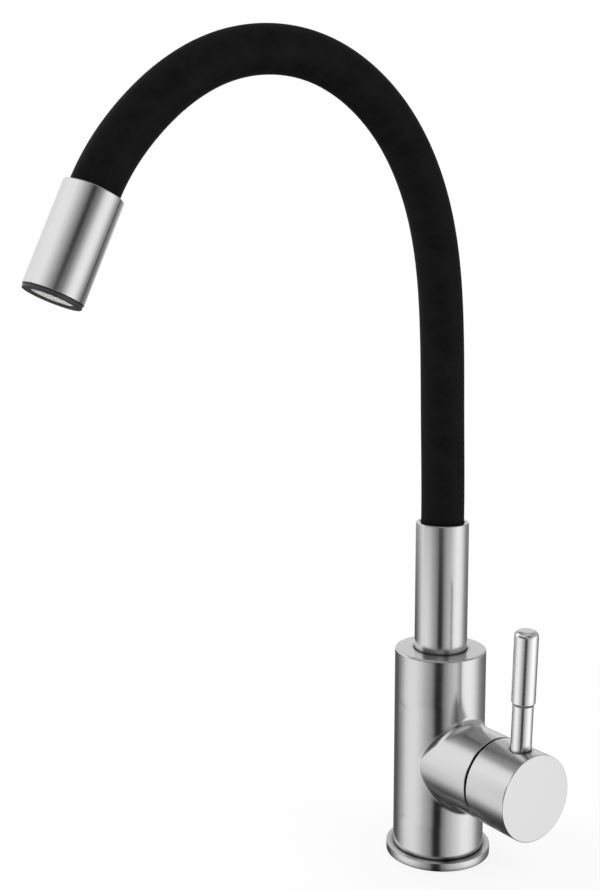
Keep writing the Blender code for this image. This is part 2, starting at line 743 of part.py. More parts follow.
def lever_pieces():
    foot = HOUSING_RADIUS - CAP_WALL - LEVER_SINK
    pin_end = GRIP_START + GRIP_LENGTH - GRIP_END_WALL - GAP
    outline = [
        (0, pin_end),
        (GRIP_PIN_RADIUS, pin_end),
        (GRIP_PIN_RADIUS, GRIP_START),
        (LEVER_RADIUS, GRIP_START),
        (LEVER_RADIUS, foot),
        (LEVER_SPIGOT_RADIUS, foot),
        (LEVER_SPIGOT_RADIUS, STEM_HALF + GAP),
        (0, STEM_HALF + GAP),
    ]
    stem = turned("lever_stem", outline, BRUSHED_STEEL, SMALL_SIDES, lever_frame())
    start, end = GRIP_START + GAP, GRIP_START + GRIP_LENGTH
    bore = GRIP_PIN_RADIUS + GAP
    outline = [
        (0, end),
        *rounded((GRIP_RADIUS - GRIP_EDGE, end - GRIP_EDGE), GRIP_EDGE, 90, 0, 3),
        (GRIP_RADIUS, start + GRIP_TAPER),
        (LEVER_RADIUS, start),
        (bore, start),
        (bore, end - GRIP_END_WALL),
        (0, end - GRIP_END_WALL),
    ]
    grip = turned("lever_grip", outline, BRUSHED_STEEL, SMALL_SIDES, lever_frame())
    return stem, grip


def neck_pieces():
    hose_bore = SLEEVE_RADIUS + GAP
    seat = NECK_TOP - NECK_SEAT_DEPTH
    groove = NECK_RADIUS - RING_INSET - GAP
    clip_groove = NECK_RADIUS - CLIP_INSET - GAP
    clip_top = SLIP_RING_BOTTOM - GAP
    clip_bottom = clip_top - CLIP_THICK
    ring_bottoms = [clip_bottom - RING_SPACING * (i + 1) for i in range(len(RING_NAMES))]
    outline = [
        (NECK_RADIUS - NECK_EDGE, NECK_TOP),
        (NECK_RADIUS, NECK_TOP - NECK_EDGE),
        (NECK_RADIUS, clip_top + GAP),
        (clip_groove, clip_top + GAP),
        (clip_groove, clip_bottom - GAP),
        (NECK_RADIUS, clip_bottom - GAP),
    ]
    for bottom in ring_bottoms:
        top = bottom + RING_THICK
        outline += [
            (NECK_RADIUS, top + GAP),
            (groove, top + GAP),
            (groove, bottom - GAP),
            (NECK_RADIUS, bottom - GAP),
        ]
    outline += [
        (NECK_RADIUS, NECK_BOTTOM),
        (NECK_BORE, NECK_BOTTOM),
        (NECK_BORE, seat),
        (hose_bore, seat),
        (hose_bore, NECK_TOP),
    ]
    tube = turned("neck_tube", outline, BRUSHED_STEEL, ROUND_SIDES, closed=True)

    inner, outer = groove + GAP, NECK_RADIUS + RING_SQUASH
    ring = ring_outline(inner, outer, 0, RING_THICK, RING_EDGE)
    rings = [
        turned(name, ring, RUBBER, SMALL_SIDES, Matrix.Translation((0, 0, bottom)), closed=True)
        for name, bottom in zip(RING_NAMES, ring_bottoms)
    ]

    clip = turned(
        "neck_clip",
        ring_outline(clip_groove + GAP, SLIP_BORE - GAP, clip_bottom, clip_top),
        WOUND_STEEL,
        ROUND_SIDES,
        closed=True,
    )
    half = CLIP_OPENING / 2
    cut(
        clip,
        box(
            "clip_opening",
            (-half, 0, clip_bottom - OVERRUN),
            (half, SLIP_BORE + OVERRUN, clip_top + OVERRUN),
        ),
    )
    return tube, clip, *rings


def slip_ring():
    inner = NECK_RADIUS + GAP
    outline = ring_outline(inner, inner + SLIP_RING_WALL, SLIP_RING_BOTTOM, SLIP_RING_TOP)
    turned("neck_slip_ring", outline, DARK_PLASTIC, ROUND_SIDES, closed=True)


def ferrule(name, start, frame=None):
    """The crimped band that holds the wound core, below the sleeve's end."""
    outline = ring_outline(SLEEVE_BORE, SLEEVE_RADIUS, start, start + FERRULE_LENGTH)
    return turned(name, outline, BRASS, SLEEVE_SIDES, frame, closed=True)


def sphere_points(radius, outer, inner, centre, side):
    """Points on a ball about the axis, between two radii, above or below its centre."""
    first, last = math.asin(min(outer / radius, 1)), math.asin(inner / radius)
    steps = max(1, math.ceil((first - last) / ARC_STEP))
    angles = [first + (last - first) * i / steps for i in range(steps + 1)]
    return [(radius * math.sin(a), centre + side * radius * math.cos(a)) for a in angles]


def hose_layer(name, radii, look, sides, bottom, top, bend):
    """One layer of a link, straight at first and then bent along its arc.

    bottom is None where the link ends in a ball about its own joint, and top is
    the next joint's height where it ends in a cup, or a flat end's height.
    """
    outer, inner = radii
    arc, angle = bend
    top_height, has_cup = top
    steps = max(1, math.ceil(angle / BEND_STEP))
    levels = [arc * i / steps for i in range(steps + 1)] if arc else []
    if has_cup:
        upper = sphere_points(CUP_RADIUS, outer, inner, top_height, -1)
    else:
        upper = [(outer, top_height), (inner, top_height)]
    if bottom is None:
        lower = sphere_points(SLEEVE_RADIUS, outer, inner, 0, -1)
    else:
        lower = [(outer, bottom), (inner, bottom)]
    outline = [upper[0]]
    outline += [(outer, level) for level in reversed(levels)]
    outline += [point for point in lower if point[1] < 0 or point[0] < outer]
    outline += [(inner, level) for level in levels]
    outline += reversed(upper[1:])
    obj = turned(name, outline, look, sides, closed=True)
    if angle:
        bend_mesh(obj.data, arc, angle)
    return obj


def bend_mesh(mesh, arc, angle):
    """Bend everything above the joint along an arc towards -Y."""
    radius = arc / angle
    for vertex in mesh.vertices:
        x, y, z = vertex.co
        if z <= 0:
            continue
        turn = angle * min(z / arc, 1)
        beyond = max(z - arc, 0)
        reach = radius + y
        vertex.co = (
            x,
            reach * math.cos(turn) - radius - beyond * math.sin(turn),
            reach * math.sin(turn) + beyond * math.cos(turn),
        )


def hose_joints():
    """Each link's frame at its joint, and the frame of the outlet's upper rim."""
    here = Matrix.Translation((0, 0, NECK_TOP + FIRST_JOINT_RISE))
    frames = []
    for i, degrees in enumerate(LINK_BENDS):
        frames.append(here)
        last = i == len(LINK_BENDS) - 1
        straight = 0.0 if last else CUP_RADIUS + CUP_MARGIN
        length = LAST_LINK_LENGTH if last else LINK_LENGTH
        arc, angle = length - straight, math.radians(degrees)
        chord = Vector((0, 0, arc))
        if angle:
            radius = arc / angle
            chord = Vector((0, radius * (math.cos(angle) - 1), radius * math.sin(angle)))
        turn = Matrix.Rotation(angle, 4, "X")
        here = here @ Matrix.Translation(chord) @ turn @ Matrix.Translation((0, 0, straight))
    return frames, here


LAYERS = (
    ("hose_sleeve", (SLEEVE_RADIUS, SLEEVE_BORE), SILICONE, SLEEVE_SIDES),
    ("hose_core", (WINDING_RADIUS, WINDING_BORE), WOUND_STEEL, WINDING_SIDES),
    ("water_tube", (TUBE_RADIUS, TUBE_BORE), TUBING, TUBE_SIDES),
)


def hose_foot():
    """The hose's lowest stretch, held in the neck, with the first socket on top."""
    sleeve_end = NECK_TOP - SLEEVE_SUNK
    core_end = sleeve_end - FERRULE_LENGTH - 2 * GAP
    ends = (sleeve_end, core_end, core_end - TUBE_TAIL)
    joint = (NECK_TOP + FIRST_JOINT_RISE, True)
    pieces = [ferrule("lower_ferrule", sleeve_end - GAP - FERRULE_LENGTH)]
    for (name, radii, look, sides), end in zip(LAYERS, ends):
        pieces.append(hose_layer(f"{name}_0", radii, look, sides, end, joint, (0, 0)))
    return pieces


def hose_link(number, frame):
    """One link's three layers, from its joint to the next joint or into the outlet."""
    last = number == len(LINK_BENDS)
    angle = math.radians(LINK_BENDS[number - 1])
    in_outlet = OUTLET_HOSE_DEPTH + GAP + FERRULE_LENGTH + GAP
    ends = (OUTLET_HOSE_DEPTH, in_outlet, in_outlet + TUBE_TAIL)
    pieces = []
    for (name, radii, look, sides), end in zip(LAYERS, ends):
        if last:
            arc, top = LAST_LINK_LENGTH, (LAST_LINK_LENGTH + end, False)
        else:
            arc, top = LINK_LENGTH - CUP_RADIUS - CUP_MARGIN, (LINK_LENGTH, True)
        piece = hose_layer(f"{name}_{number}", radii, look, sides, None, top, (arc, angle))
        piece.matrix_world = frame
        pieces.append(piece)
    return pieces


def outlet_sections():
    """Heights inside the outlet, from its upper rim: throat, thread and lip."""
    seat = OUTLET_HOSE_DEPTH + GAP + FERRULE_LENGTH + GAP
    lip = OUTLET_LENGTH - AERATOR_LIP
    shell_end = lip - GAP
    return seat, shell_end - OUTLET_THREAD_DEPTH, shell_end, lip


def outlet_shell(frame):
    seat, thread, shell_end, _ = outlet_sections()
    bore = SLEEVE_RADIUS + GAP
    outline = [
        (OUTLET_RADIUS, shell_end),
        (OUTLET_RADIUS, OUTLET_EDGE),
        (OUTLET_RADIUS - OUTLET_EDGE, 0),
        (bore, 0),
        (bore, seat),
        (OUTLET_THROAT, seat),
        (OUTLET_THROAT, thread),
        (OUTLET_THREAD_BORE, thread),
        (OUTLET_THREAD_BORE, shell_end),
    ]
    return turned("outlet_shell", outline, BRUSHED_STEEL, ROUND_SIDES, frame, closed=True)


def cells(name, radius, pitch, rings, frame, start, end):
    """Six-sided holes on a honeycomb, as many rings as asked round the middle one."""
    pattern = cylinder(name, radius, (0, 0, start), (0, 0, end), HEX_SIDES)
    middle = (start + end) / 2
    places = []
    for a in range(-rings, rings + 1):
        for b in range(-rings, rings + 1):
            if abs(a + b) <= rings:
                x = pitch * (a + b / 2)
                y = pitch * b * math.sin(math.pi / 3)
                places.append(Matrix.Translation((x, y, middle)))
    copies(name, pattern, places)
    pattern.matrix_world = frame
    return pattern


def aerator_pieces(frame):
    _, thread, _, lip = outlet_sections()
    barrel = OUTLET_THREAD_BORE - GAP
    bore = barrel - AERATOR_WALL
    gasket_end = thread + GAP + AERATOR_GASKET_THICK
    barrel_start = gasket_end + GAP
    inside = bore - GAP
    screen_start = barrel_start
    insert_end = OUTLET_LENGTH - AERATOR_RECESS
    insert_start = insert_end - AERATOR_INSERT_THICK
    lip_radius = OUTLET_RADIUS - AERATOR_LIP_INSET
    outline = [
        (lip_radius - OUTLET_EDGE, OUTLET_LENGTH),
        (lip_radius, OUTLET_LENGTH - OUTLET_EDGE),
        (lip_radius, lip),
        (barrel, lip),
        (barrel, barrel_start),
        (bore, barrel_start),
        (bore, OUTLET_LENGTH),
    ]
    housing = turned("aerator_housing", outline, BRUSHED_STEEL, ROUND_SIDES, frame, closed=True)

    outline = ring_outline(OUTLET_THROAT, barrel, thread + GAP, gasket_end)
    gasket = turned("aerator_gasket", outline, RUBBER, ROUND_SIDES, frame, closed=True)

    end = screen_start + AERATOR_SCREEN_THICK
    outline = [(0, end), (inside, end), (inside, screen_start), (0, screen_start)]
    screen = turned("aerator_screen", outline, WOUND_STEEL, SMALL_SIDES, frame)
    grid = (SCREEN_CELL_RADIUS, SCREEN_CELL_PITCH, SCREEN_CELL_RINGS)
    cut(screen, cells("screen_cells", *grid, frame, screen_start - OVERRUN, end + OVERRUN))

    outline = [(0, insert_end), (inside, insert_end), (inside, insert_start), (0, insert_start)]
    insert = turned("aerator_insert", outline, PLASTIC, SMALL_SIDES, frame)
    grid = (AERATOR_CELL_RADIUS, AERATOR_CELL_PITCH, AERATOR_CELL_RINGS)
    ends = (insert_start - OVERRUN, insert_end + OVERRUN)
    cut(insert, cells("aerator_cells", *grid, frame, *ends))
    return housing, gasket, screen, insert


def joint(name, frame, parent=None):
    """An empty on a joint's axis, which carries what the joint moves."""
    empty = bpy.data.objects.new(name, None)
    empty.empty_display_size = SLEEVE_RADIUS
    FAUCET.objects.link(empty)
    empty.matrix_world = frame
    if parent:
        carry(parent, empty)
    return empty


def carry(parent, *children):
    """Parent the children to an empty and leave them where they are."""
    bpy.context.view_layer.update()
    for child in children:
        place = child.matrix_world.copy()
        child.parent = parent
        child.matrix_parent_inverse = parent.matrix_world.inverted()
        child.matrix_world = place


def build_faucet():
    base_pieces()
    body_shell()
    waterway_core()
    cartridge_fixed_pieces()
    cartridge_nut()
    slip_ring()

    turn = joint("handle_turn_joint", Matrix.Translation(on_axis(PIVOT_X)))
    tilt = joint("handle_tilt_joint", Matrix.Translation(on_axis(PIVOT_X)), turn)
    slide = joint("disc_slide_joint", Matrix.Translation(on_axis(MOVING_DISC_X)), turn)
    carry(turn, *stem_carrier())
    carry(slide, moving_disc())
    carry(tilt, cartridge_stem(), handle_cap(), handle_screw(), *lever_pieces())

    swivel = joint("neck_swivel_joint", Matrix.Translation((0, 0, BODY_TOP)))
    carry(swivel, *neck_pieces(), *hose_foot())
    frames, outlet = hose_joints()
    carrier = swivel
    # Each hose joint turns about its empty's own X axis
    for number, frame in enumerate(frames, 1):
        sideways = Matrix.Rotation(math.pi / 2, 4, "Z") if number in SIDEWAYS_JOINTS else Matrix()
        carrier = joint(f"hose_joint_{number}", frame @ sideways, carrier)
        carry(carrier, *hose_link(number, frame))
    seat = outlet_sections()[0]
    upper_ferrule = ferrule("upper_ferrule", seat - GAP - FERRULE_LENGTH, outlet)
    carry(carrier, upper_ferrule, outlet_shell(outlet), *aerator_pieces(outlet))


build_faucet()
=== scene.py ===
"""Looks of the flexible kitchen faucet: smooth shapes, finishes, studio and camera.

Units are metres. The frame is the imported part's: +Z is up, the spout reaches out
along -Y and the handle along +X. The sizes repeat those of the part's source.
"""

import json
import math

import bmesh
import bpy
import numpy as np
from mathutils import Matrix, Vector


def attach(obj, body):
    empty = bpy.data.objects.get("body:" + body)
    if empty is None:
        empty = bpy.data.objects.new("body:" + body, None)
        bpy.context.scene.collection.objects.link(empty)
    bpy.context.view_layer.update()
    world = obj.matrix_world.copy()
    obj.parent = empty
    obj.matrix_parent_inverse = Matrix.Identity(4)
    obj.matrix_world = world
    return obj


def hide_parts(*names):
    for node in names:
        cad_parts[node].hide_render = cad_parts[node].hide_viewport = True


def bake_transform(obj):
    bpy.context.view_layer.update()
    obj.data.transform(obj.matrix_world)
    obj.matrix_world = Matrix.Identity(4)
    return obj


MM = 0.001

# Mesh fineness
SIDES = 128
ROD_SIDES = 64
HOSE_SIDES = 64
FILLET_STEPS = 6
SEAM_STEPS = 12
WINDOW_COLUMNS = 36
WINDOW_LEVELS = 24
PATCH_ROWS = 9
PATCH_CROWDING = 1.6
BRANCH_ROWS = 8
HOSE_STEP = 1.5 * MM
FLAT_SUPPORT = 0.25 * MM
MERGE = 0.001 * MM
SHARP_ANGLE = math.radians(32)

# Clearances
GAP = 0.3 * MM
OVERRUN = 2.0 * MM

# Base
FLANGE_RADIUS = 25.9 * MM
FLANGE_HEIGHT = 4.2 * MM
FLANGE_EDGE = 0.3 * MM
FLANGE_FOOT_EDGE = 0.2 * MM
FLANGE_HOLE_RADIUS = 18.0 * MM
GASKET_RADIUS = 19.2 * MM
GASKET_WIDTH = 2.4 * MM
GASKET_HEIGHT = 1.9 * MM

# Body with its side housing. The window is the part of the tube's wall round the housing.
BODY_RADIUS = 22.5 * MM
BODY_HEIGHT = 100.4 * MM
BODY_WALL = 1.5 * MM
BODY_EDGE = 0.8 * MM
BODY_HOLE_EDGE = 0.2 * MM
BODY_FILLET = 4.5 * MM
BODY_BOTTOM = FLANGE_HEIGHT + GAP
BODY_TOP = BODY_BOTTOM + BODY_HEIGHT
HANDLE_DROP = 53.9 * MM
HANDLE_HEIGHT = BODY_TOP - HANDLE_DROP
HOUSING_RADIUS = 20.56 * MM
HOUSING_REACH = 42.0 * MM
HOUSING_WALL = 1.9 * MM
HOUSING_EDGE = 0.35 * MM
HOUSING_BORE = HOUSING_RADIUS - HOUSING_WALL
WINDOW_HALF_HEIGHT = 31.0 * MM

# Hose: a sleeve over a wound core, with a water tube inside
SLEEVE_RADIUS = 10.5 * MM
SLEEVE_BORE = 7.5 * MM
WINDING_RADIUS = SLEEVE_BORE - GAP
WINDING_BORE = 4.4 * MM
TUBE_RADIUS = WINDING_BORE - GAP
TUBE_BORE = 2.9 * MM
TUBE_TAIL = 5.0 * MM
SLEEVE_SUNK = 14.4 * MM
FERRULE_LENGTH = 9.4 * MM
HOSE_BORE = SLEEVE_RADIUS + GAP
HOSE_BORE_EDGE = 0.15 * MM
HOSE_JOINTS = 8
LAST_LINK_LENGTH = 38.0 * MM
LAST_LINK_BEND = math.radians(21)
WRAP_UNIT = 100.0 * MM

# Neck, with a groove for the clip and one for each O-ring
NECK_RADIUS = 12.97 * MM
NECK_SHOWING = 63.7 * MM
NECK_SUNK = 25.4 * MM
NECK_BORE = 9.0 * MM
NECK_EDGE = 0.4 * MM
NECK_SEAT_DEPTH = 24.4 * MM
NECK_HOLE = NECK_RADIUS + GAP
NECK_TOP = BODY_TOP + NECK_SHOWING
NECK_BOTTOM = BODY_TOP - NECK_SUNK
NECK_SEAT = NECK_TOP - NECK_SEAT_DEPTH
SLIP_RING_HEIGHT = 6.0 * MM
SLIP_RING_BOTTOM = BODY_TOP - BODY_WALL - GAP - SLIP_RING_HEIGHT
CLIP_THICK = 1.5 * MM
CLIP_INSET = 1.1 * MM
CLIP_BOTTOM = SLIP_RING_BOTTOM - GAP - CLIP_THICK
RING_THICK = 1.8 * MM
RING_INSET = 1.3 * MM
RING_SPACING = 5.0 * MM
RING_COUNT = 2

# Handle: cap and lever
HANDLE_GAP = 1.2 * MM
CAP_LENGTH = 24.9 * MM
CAP_WALL = 2.96 * MM
CAP_FACE = 3.2 * MM
CAP_EDGE = 0.35 * MM
CAP_X = HOUSING_REACH + HANDLE_GAP
CAP_END_X = CAP_X + CAP_LENGTH
CAP_BORE = HOUSING_RADIUS - CAP_WALL
RELIEF_DROP = 3.0 * MM
RELIEF_DEPTH = 3.8 * MM
HUB_RADIUS = 8.0 * MM
HUB_SETBACK = 4.3 * MM
HUB_X = CAP_X + HUB_SETBACK
STEM_HALF = 3.5 * MM
STEM_REACH = 19.0 * MM
STEM_END_X = HOUSING_REACH + STEM_REACH
SCREW_RADIUS = 2.5 * MM
SCREW_SETBACK = 8.8 * MM
SCREW_X = CAP_X + SCREW_SETBACK
LEVER_SETBACK = 13.9 * MM
LEVER_X = CAP_X + LEVER_SETBACK
LEVER_LEAN = math.radians(2)
LEVER_RADIUS = 4.9 * MM
LEVER_EDGE = 0.2 * MM
LEVER_SPIGOT_RADIUS = 3.5 * MM
LEVER_SINK = 0.6 * MM
LEVER_FOOT = CAP_BORE - LEVER_SINK
GRIP_START = 42.3 * MM
GRIP_LENGTH = 35.3 * MM
GRIP_RADIUS = 5.6 * MM
GRIP_EDGE = 2.4 * MM
GRIP_TAPER = 0.8 * MM
GRIP_TAPER_EDGE = 0.5 * MM
GRIP_END_WALL = 4.5 * MM
GRIP_END = GRIP_START + GRIP_LENGTH
GRIP_PIN_RADIUS = 3.3 * MM
GRIP_COLLAR_RADIUS = 4.5 * MM
GRIP_COLLAR_HEIGHT = 0.25 * MM

# Outlet, measured along its axis from its upper rim. It leans this far from upright at rest.
OUTLET_LEAN = math.radians(155.5)
OUTLET_AXIS = Vector((0, -math.sin(OUTLET_LEAN), math.cos(OUTLET_LEAN)))
OUTLET_RADIUS = 12.75 * MM
OUTLET_LENGTH = 45.8 * MM
OUTLET_EDGE = 0.4 * MM
OUTLET_LIP_EDGE = 0.12 * MM
OUTLET_HOSE_DEPTH = 10.0 * MM
OUTLET_THROAT = 8.0 * MM
OUTLET_THREAD_BORE = 11.4 * MM
OUTLET_THREAD_DEPTH = 10.3 * MM
AERATOR_LIP = 1.5 * MM
AERATOR_LIP_INSET = 0.4 * MM
AERATOR_WALL = 1.6 * MM
AERATOR_GASKET_THICK = 1.8 * MM
AERATOR_BORE_EDGE = 0.3 * MM
OUTLET_SEAT = OUTLET_HOSE_DEPTH + FERRULE_LENGTH + 2 * GAP
OUTLET_LIP = OUTLET_LENGTH - AERATOR_LIP
OUTLET_SHELL_END = OUTLET_LIP - GAP
OUTLET_THREAD = OUTLET_SHELL_END - OUTLET_THREAD_DEPTH
AERATOR_BARREL = OUTLET_THREAD_BORE - GAP
AERATOR_BORE = AERATOR_BARREL - AERATOR_WALL
AERATOR_START = OUTLET_THREAD + AERATOR_GASKET_THICK + 2 * GAP

# The hose's layers: outer and inner radius, the foot's height, and the depth in the outlet
HOSE_LAYERS = (
    ("hose_sleeve", SLEEVE_RADIUS, SLEEVE_BORE, NECK_TOP - SLEEVE_SUNK, OUTLET_HOSE_DEPTH),
    ("hose_core", WINDING_RADIUS, WINDING_BORE, NECK_SEAT, OUTLET_SEAT),
    ("water_tube", TUBE_RADIUS, TUBE_BORE, NECK_SEAT - TUBE_TAIL, OUTLET_SEAT + TUBE_TAIL),
)

# Camera, found from the photograph's outlines
CAMERA_PLACE = Vector((0.4628, -0.3962, 0.2959))
CAMERA_AIM = Vector((-0.8215, 0.5539, -0.1350))
CAMERA_LENS = 50.97
CAMERA_SHIFT = -0.0161
CAMERA_NEAR = 0.01


# Meshes and outlines


def piece(name, verts, faces):
    """A smooth-shaded mesh object with its normals outwards."""
    mesh = bpy.data.meshes.new(name)
    mesh.from_pydata([tuple(v) for v in verts], [], faces)
    obj = bpy.data.objects.new(name, mesh)
    bpy.context.scene.collection.objects.link(obj)
    work = bmesh.new()
    work.from_mesh(mesh)
    bmesh.ops.recalc_face_normals(work, faces=work.faces)
    work.to_mesh(mesh)
    work.free()
    mesh.shade_smooth()
    mesh.set_sharp_from_angle(angle=SHARP_ANGLE)
    return obj


def rounded(points):
    """An outline in which each corner given a radius is an arc.

    A point is (radius, height) or (radius, height, corner radius). Each arc has a
    spare point on either side, so that the flats beside it are shaded flat.
    """
    outline = []
    for i, (radius, height, *edge) in enumerate(points):
        corner = Vector((radius, height))
        if not edge:
            outline.append(corner)
            continue
        before = (Vector(points[i - 1][:2]) - corner).normalized()
        after = (Vector(points[(i + 1) % len(points)][:2]) - corner).normalized()
        half = before.angle(after) / 2
        reach = edge[0] / math.tan(half)
        centre = corner + (before + after).normalized() * edge[0] / math.sin(half)
        start, end = corner + before * reach - centre, corner + after * reach - centre
        outline.append(centre + start + before * FLAT_SUPPORT)
        outline += arc(centre, start, end, FILLET_STEPS)
        outline.append(centre + end + after * FLAT_SUPPORT)
    return outline


def arc(centre, start, end, steps):
    """Points round the centre, from one of two equally long spokes to the other."""
    swing = start.angle(end)
    points = []
    for k in range(steps + 1):
        share = k / steps
        mixed = start * math.sin((1 - share) * swing) + end * math.sin(share * swing)
        points.append(centre + mixed / math.sin(swing))
    return points


def rings_of(outline, sides, place, verts):
    """Append a ring of vertices for each outline point, and return the rings' numbers."""
    rings = []
    for radius, height in outline:
        first = len(verts)
        if radius < MERGE:
            verts.append(place @ Vector((0, 0, height)))
            rings.append([first] * sides)
            continue
        for k in range(sides):
            angle = 2 * math.pi * k / sides
            verts.append(place @ Vector((radius * math.cos(angle), radius * math.sin(angle), height)))
        rings.append(list(range(first, first + sides)))
    return rings


def strip(upper, lower, faces, skip=()):
    """Faces between two rings of equal length, except the columns to skip."""
    for k in range(len(upper)):
        if k in skip:
            continue
        following = (k + 1) % len(upper)
        face = dict.fromkeys([upper[k], lower[k], lower[following], upper[following]])
        if len(face) > 2:
            faces.append(list(face))


def turned(name, points, place=None, closed=False, sides=SIDES):
    """A turned piece about its place's +Z. A closed outline makes a ring."""
    verts, faces = [], []
    rings = rings_of(rounded(points), sides, place or Matrix(), verts)
    for upper, lower in zip(rings, rings[1:]):
        strip(upper, lower, faces)
    if closed:
        strip(rings[-1], rings[0], faces)
    return piece(name, verts, faces)


# Places


def along_x():
    """The handle's frame: local +Z runs along +X at the handle's height."""
    return Matrix.Translation((0, 0, HANDLE_HEIGHT)) @ Matrix.Rotation(math.pi / 2, 4, "Y")


def on_axis(x, y=0.0, rise=0.0):
    return Vector((x, y, HANDLE_HEIGHT + rise))


def lever_frame():
    """Local +Z runs up the lever from the handle's axis."""
    return Matrix.Translation(on_axis(LEVER_X)) @ Matrix.Rotation(LEVER_LEAN, 4, "Y")


def outlet_frame():
    """Local +Z runs along the outlet, towards the water's way out."""
    turn = OUTLET_AXIS.to_track_quat("Z", "X").to_matrix().to_4x4()
    return Matrix.Translation(outlet_centre()) @ turn


def outlet_centre():
    """The middle of the outlet's upper rim, where the arc from the hose's last joint ends."""
    half = LAST_LINK_BEND / 2
    chord = LAST_LINK_LENGTH * math.sin(half) / half
    lean = OUTLET_LEAN - half
    return joint_place(HOSE_JOINTS) + chord * Vector((0, -math.sin(lean), math.cos(lean)))


def joint_place(number):
    for joint in frame["joints"]:
        if joint["name"] == f"hose_joint_{number}":
            return Vector(joint["pos_m"])
    raise KeyError(number)


# Cutting


def tool_cylinder(radius, start, end, sides=ROD_SIDES):
    along = end - start
    place = Matrix.Translation(start) @ along.to_track_quat("Z", "Y").to_matrix().to_4x4()
    outline = [(0, along.length), (radius, along.length), (radius, 0), (0, 0)]
    return turned("tool", outline, place, sides=sides)


def tool_box(low, high, place=None):
    corners = [(x, y, z) for x in (low[0], high[0]) for y in (low[1], high[1]) for z in (low[2], high[2])]
    faces = [(0, 1, 3, 2), (4, 6, 7, 5), (0, 4, 5, 1), (2, 3, 7, 6), (0, 2, 6, 4), (1, 5, 7, 3)]
    place = place or Matrix()
    return piece("tool", [place @ Vector(corner) for corner in corners], faces)


def cut(obj, *tools):
    """Cut the tools out of the object, and delete them."""
    for tool in tools:
        step = obj.modifiers.new("cut", "BOOLEAN")
        step.object = tool
        step.operation = "DIFFERENCE"
        step.solver = "EXACT"
    bpy.context.view_layer.update()
    graph = bpy.context.evaluated_depsgraph_get()
    mesh = bpy.data.meshes.new_from_object(obj.evaluated_get(graph), depsgraph=graph)
    obj.modifiers.clear()
    obj.data = mesh
    for tool in tools:
        bpy.data.objects.remove(tool)
    mesh.shade_smooth()
    mesh.set_sharp_from_angle(angle=SHARP_ANGLE)
    # Large flats are to stay flat where they meet small faces.
    obj.modifiers.new("flats", "WEIGHTED_NORMAL").keep_sharp = True
    return obj


# Body


def seam(angle, tube, branch, fillet):
    """Points from the side branch to the tube, along a ball rolled in their corner."""
    y = (branch + fillet) * math.sin(angle)
    rise = (branch + fillet) * math.cos(angle)
    x = math.sqrt((tube + fillet) ** 2 - y * y)
    centre = on_axis(x, y, rise)
    if not fillet:
        return [centre]
    start = Vector((0, -math.sin(angle), -math.cos(angle)))
    end = Vector((-x, -y, 0)).normalized()
    return arc(centre, start * fillet, end * fillet, SEAM_STEPS)


def window_border(levels, rings):
    """The vertices round the window in the tube's wall, from its top, and their angles."""
    half, top, bottom = WINDOW_COLUMNS, 0, len(levels) - 1
    right = [(top, k) for k in range(half)] + [(row, half) for row in range(bottom)]
    below = [(bottom, k) for k in range(half, -half, -1)]
    left = [(row, -half) for row in range(bottom, 0, -1)] + [(top, k) for k in range(-half, 0)]
    vertices, angles = [], []
    for row, column in right + below + left:
        vertices.append(rings[row][column % SIDES])
        across = column * 2 * math.pi / SIDES / math.asin(HOUSING_RADIUS / BODY_RADIUS)
        up = (levels[row] - HANDLE_HEIGHT) / HOUSING_RADIUS
        angles.append(math.atan2(across, up))
    return vertices, angles


def patch_rows(verts, border, angles, tube, branch, fillet):
    """Rows of vertices over the tube's wall, from the window's border to the branch."""
    paths = []
    for vertex, angle in zip(border, angles):
        bend = seam(angle, tube, branch, fillet)
        start, end = verts[vertex], bend[-1]
        turn = math.atan2(start.y, start.x), math.atan2(end.y, end.x)
        path = []
        for row in range(1, PATCH_ROWS):
            share = 1 - (1 - row / PATCH_ROWS) ** PATCH_CROWDING
            theta = turn[0] + (turn[1] - turn[0]) * share
            z = start.z + (end.z - start.z) * share
            path.append(Vector((tube * math.cos(theta), tube * math.sin(theta), z)))
        paths.append(path + bend[::-1])
    rows = []
    for row in zip(*paths):
        rows.append(list(range(len(verts), len(verts) + len(row))))
        verts.extend(row)
    return rows


def branch_rows(verts, last_row, angles, outline):
    """Rows along the branch: evenly up to the outline's first point, and then along it."""
    rows = []
    (radius, end), rest = outline[0], outline[1:]
    for row in range(1, BRANCH_ROWS + 1):
        share = row / BRANCH_ROWS
        rows.append(list(range(len(verts), len(verts) + len(angles))))
        for vertex, angle in zip(last_row, angles):
            x = verts[vertex].x + (end - verts[vertex].x) * share
            verts.append(on_axis(x, radius * math.sin(angle), radius * math.cos(angle)))
    for radius, x in rest:
        rows.append(list(range(len(verts), len(verts) + len(angles))))
        verts.extend(on_axis(x, radius * math.sin(a), radius * math.cos(a)) for a in angles)
    return rows


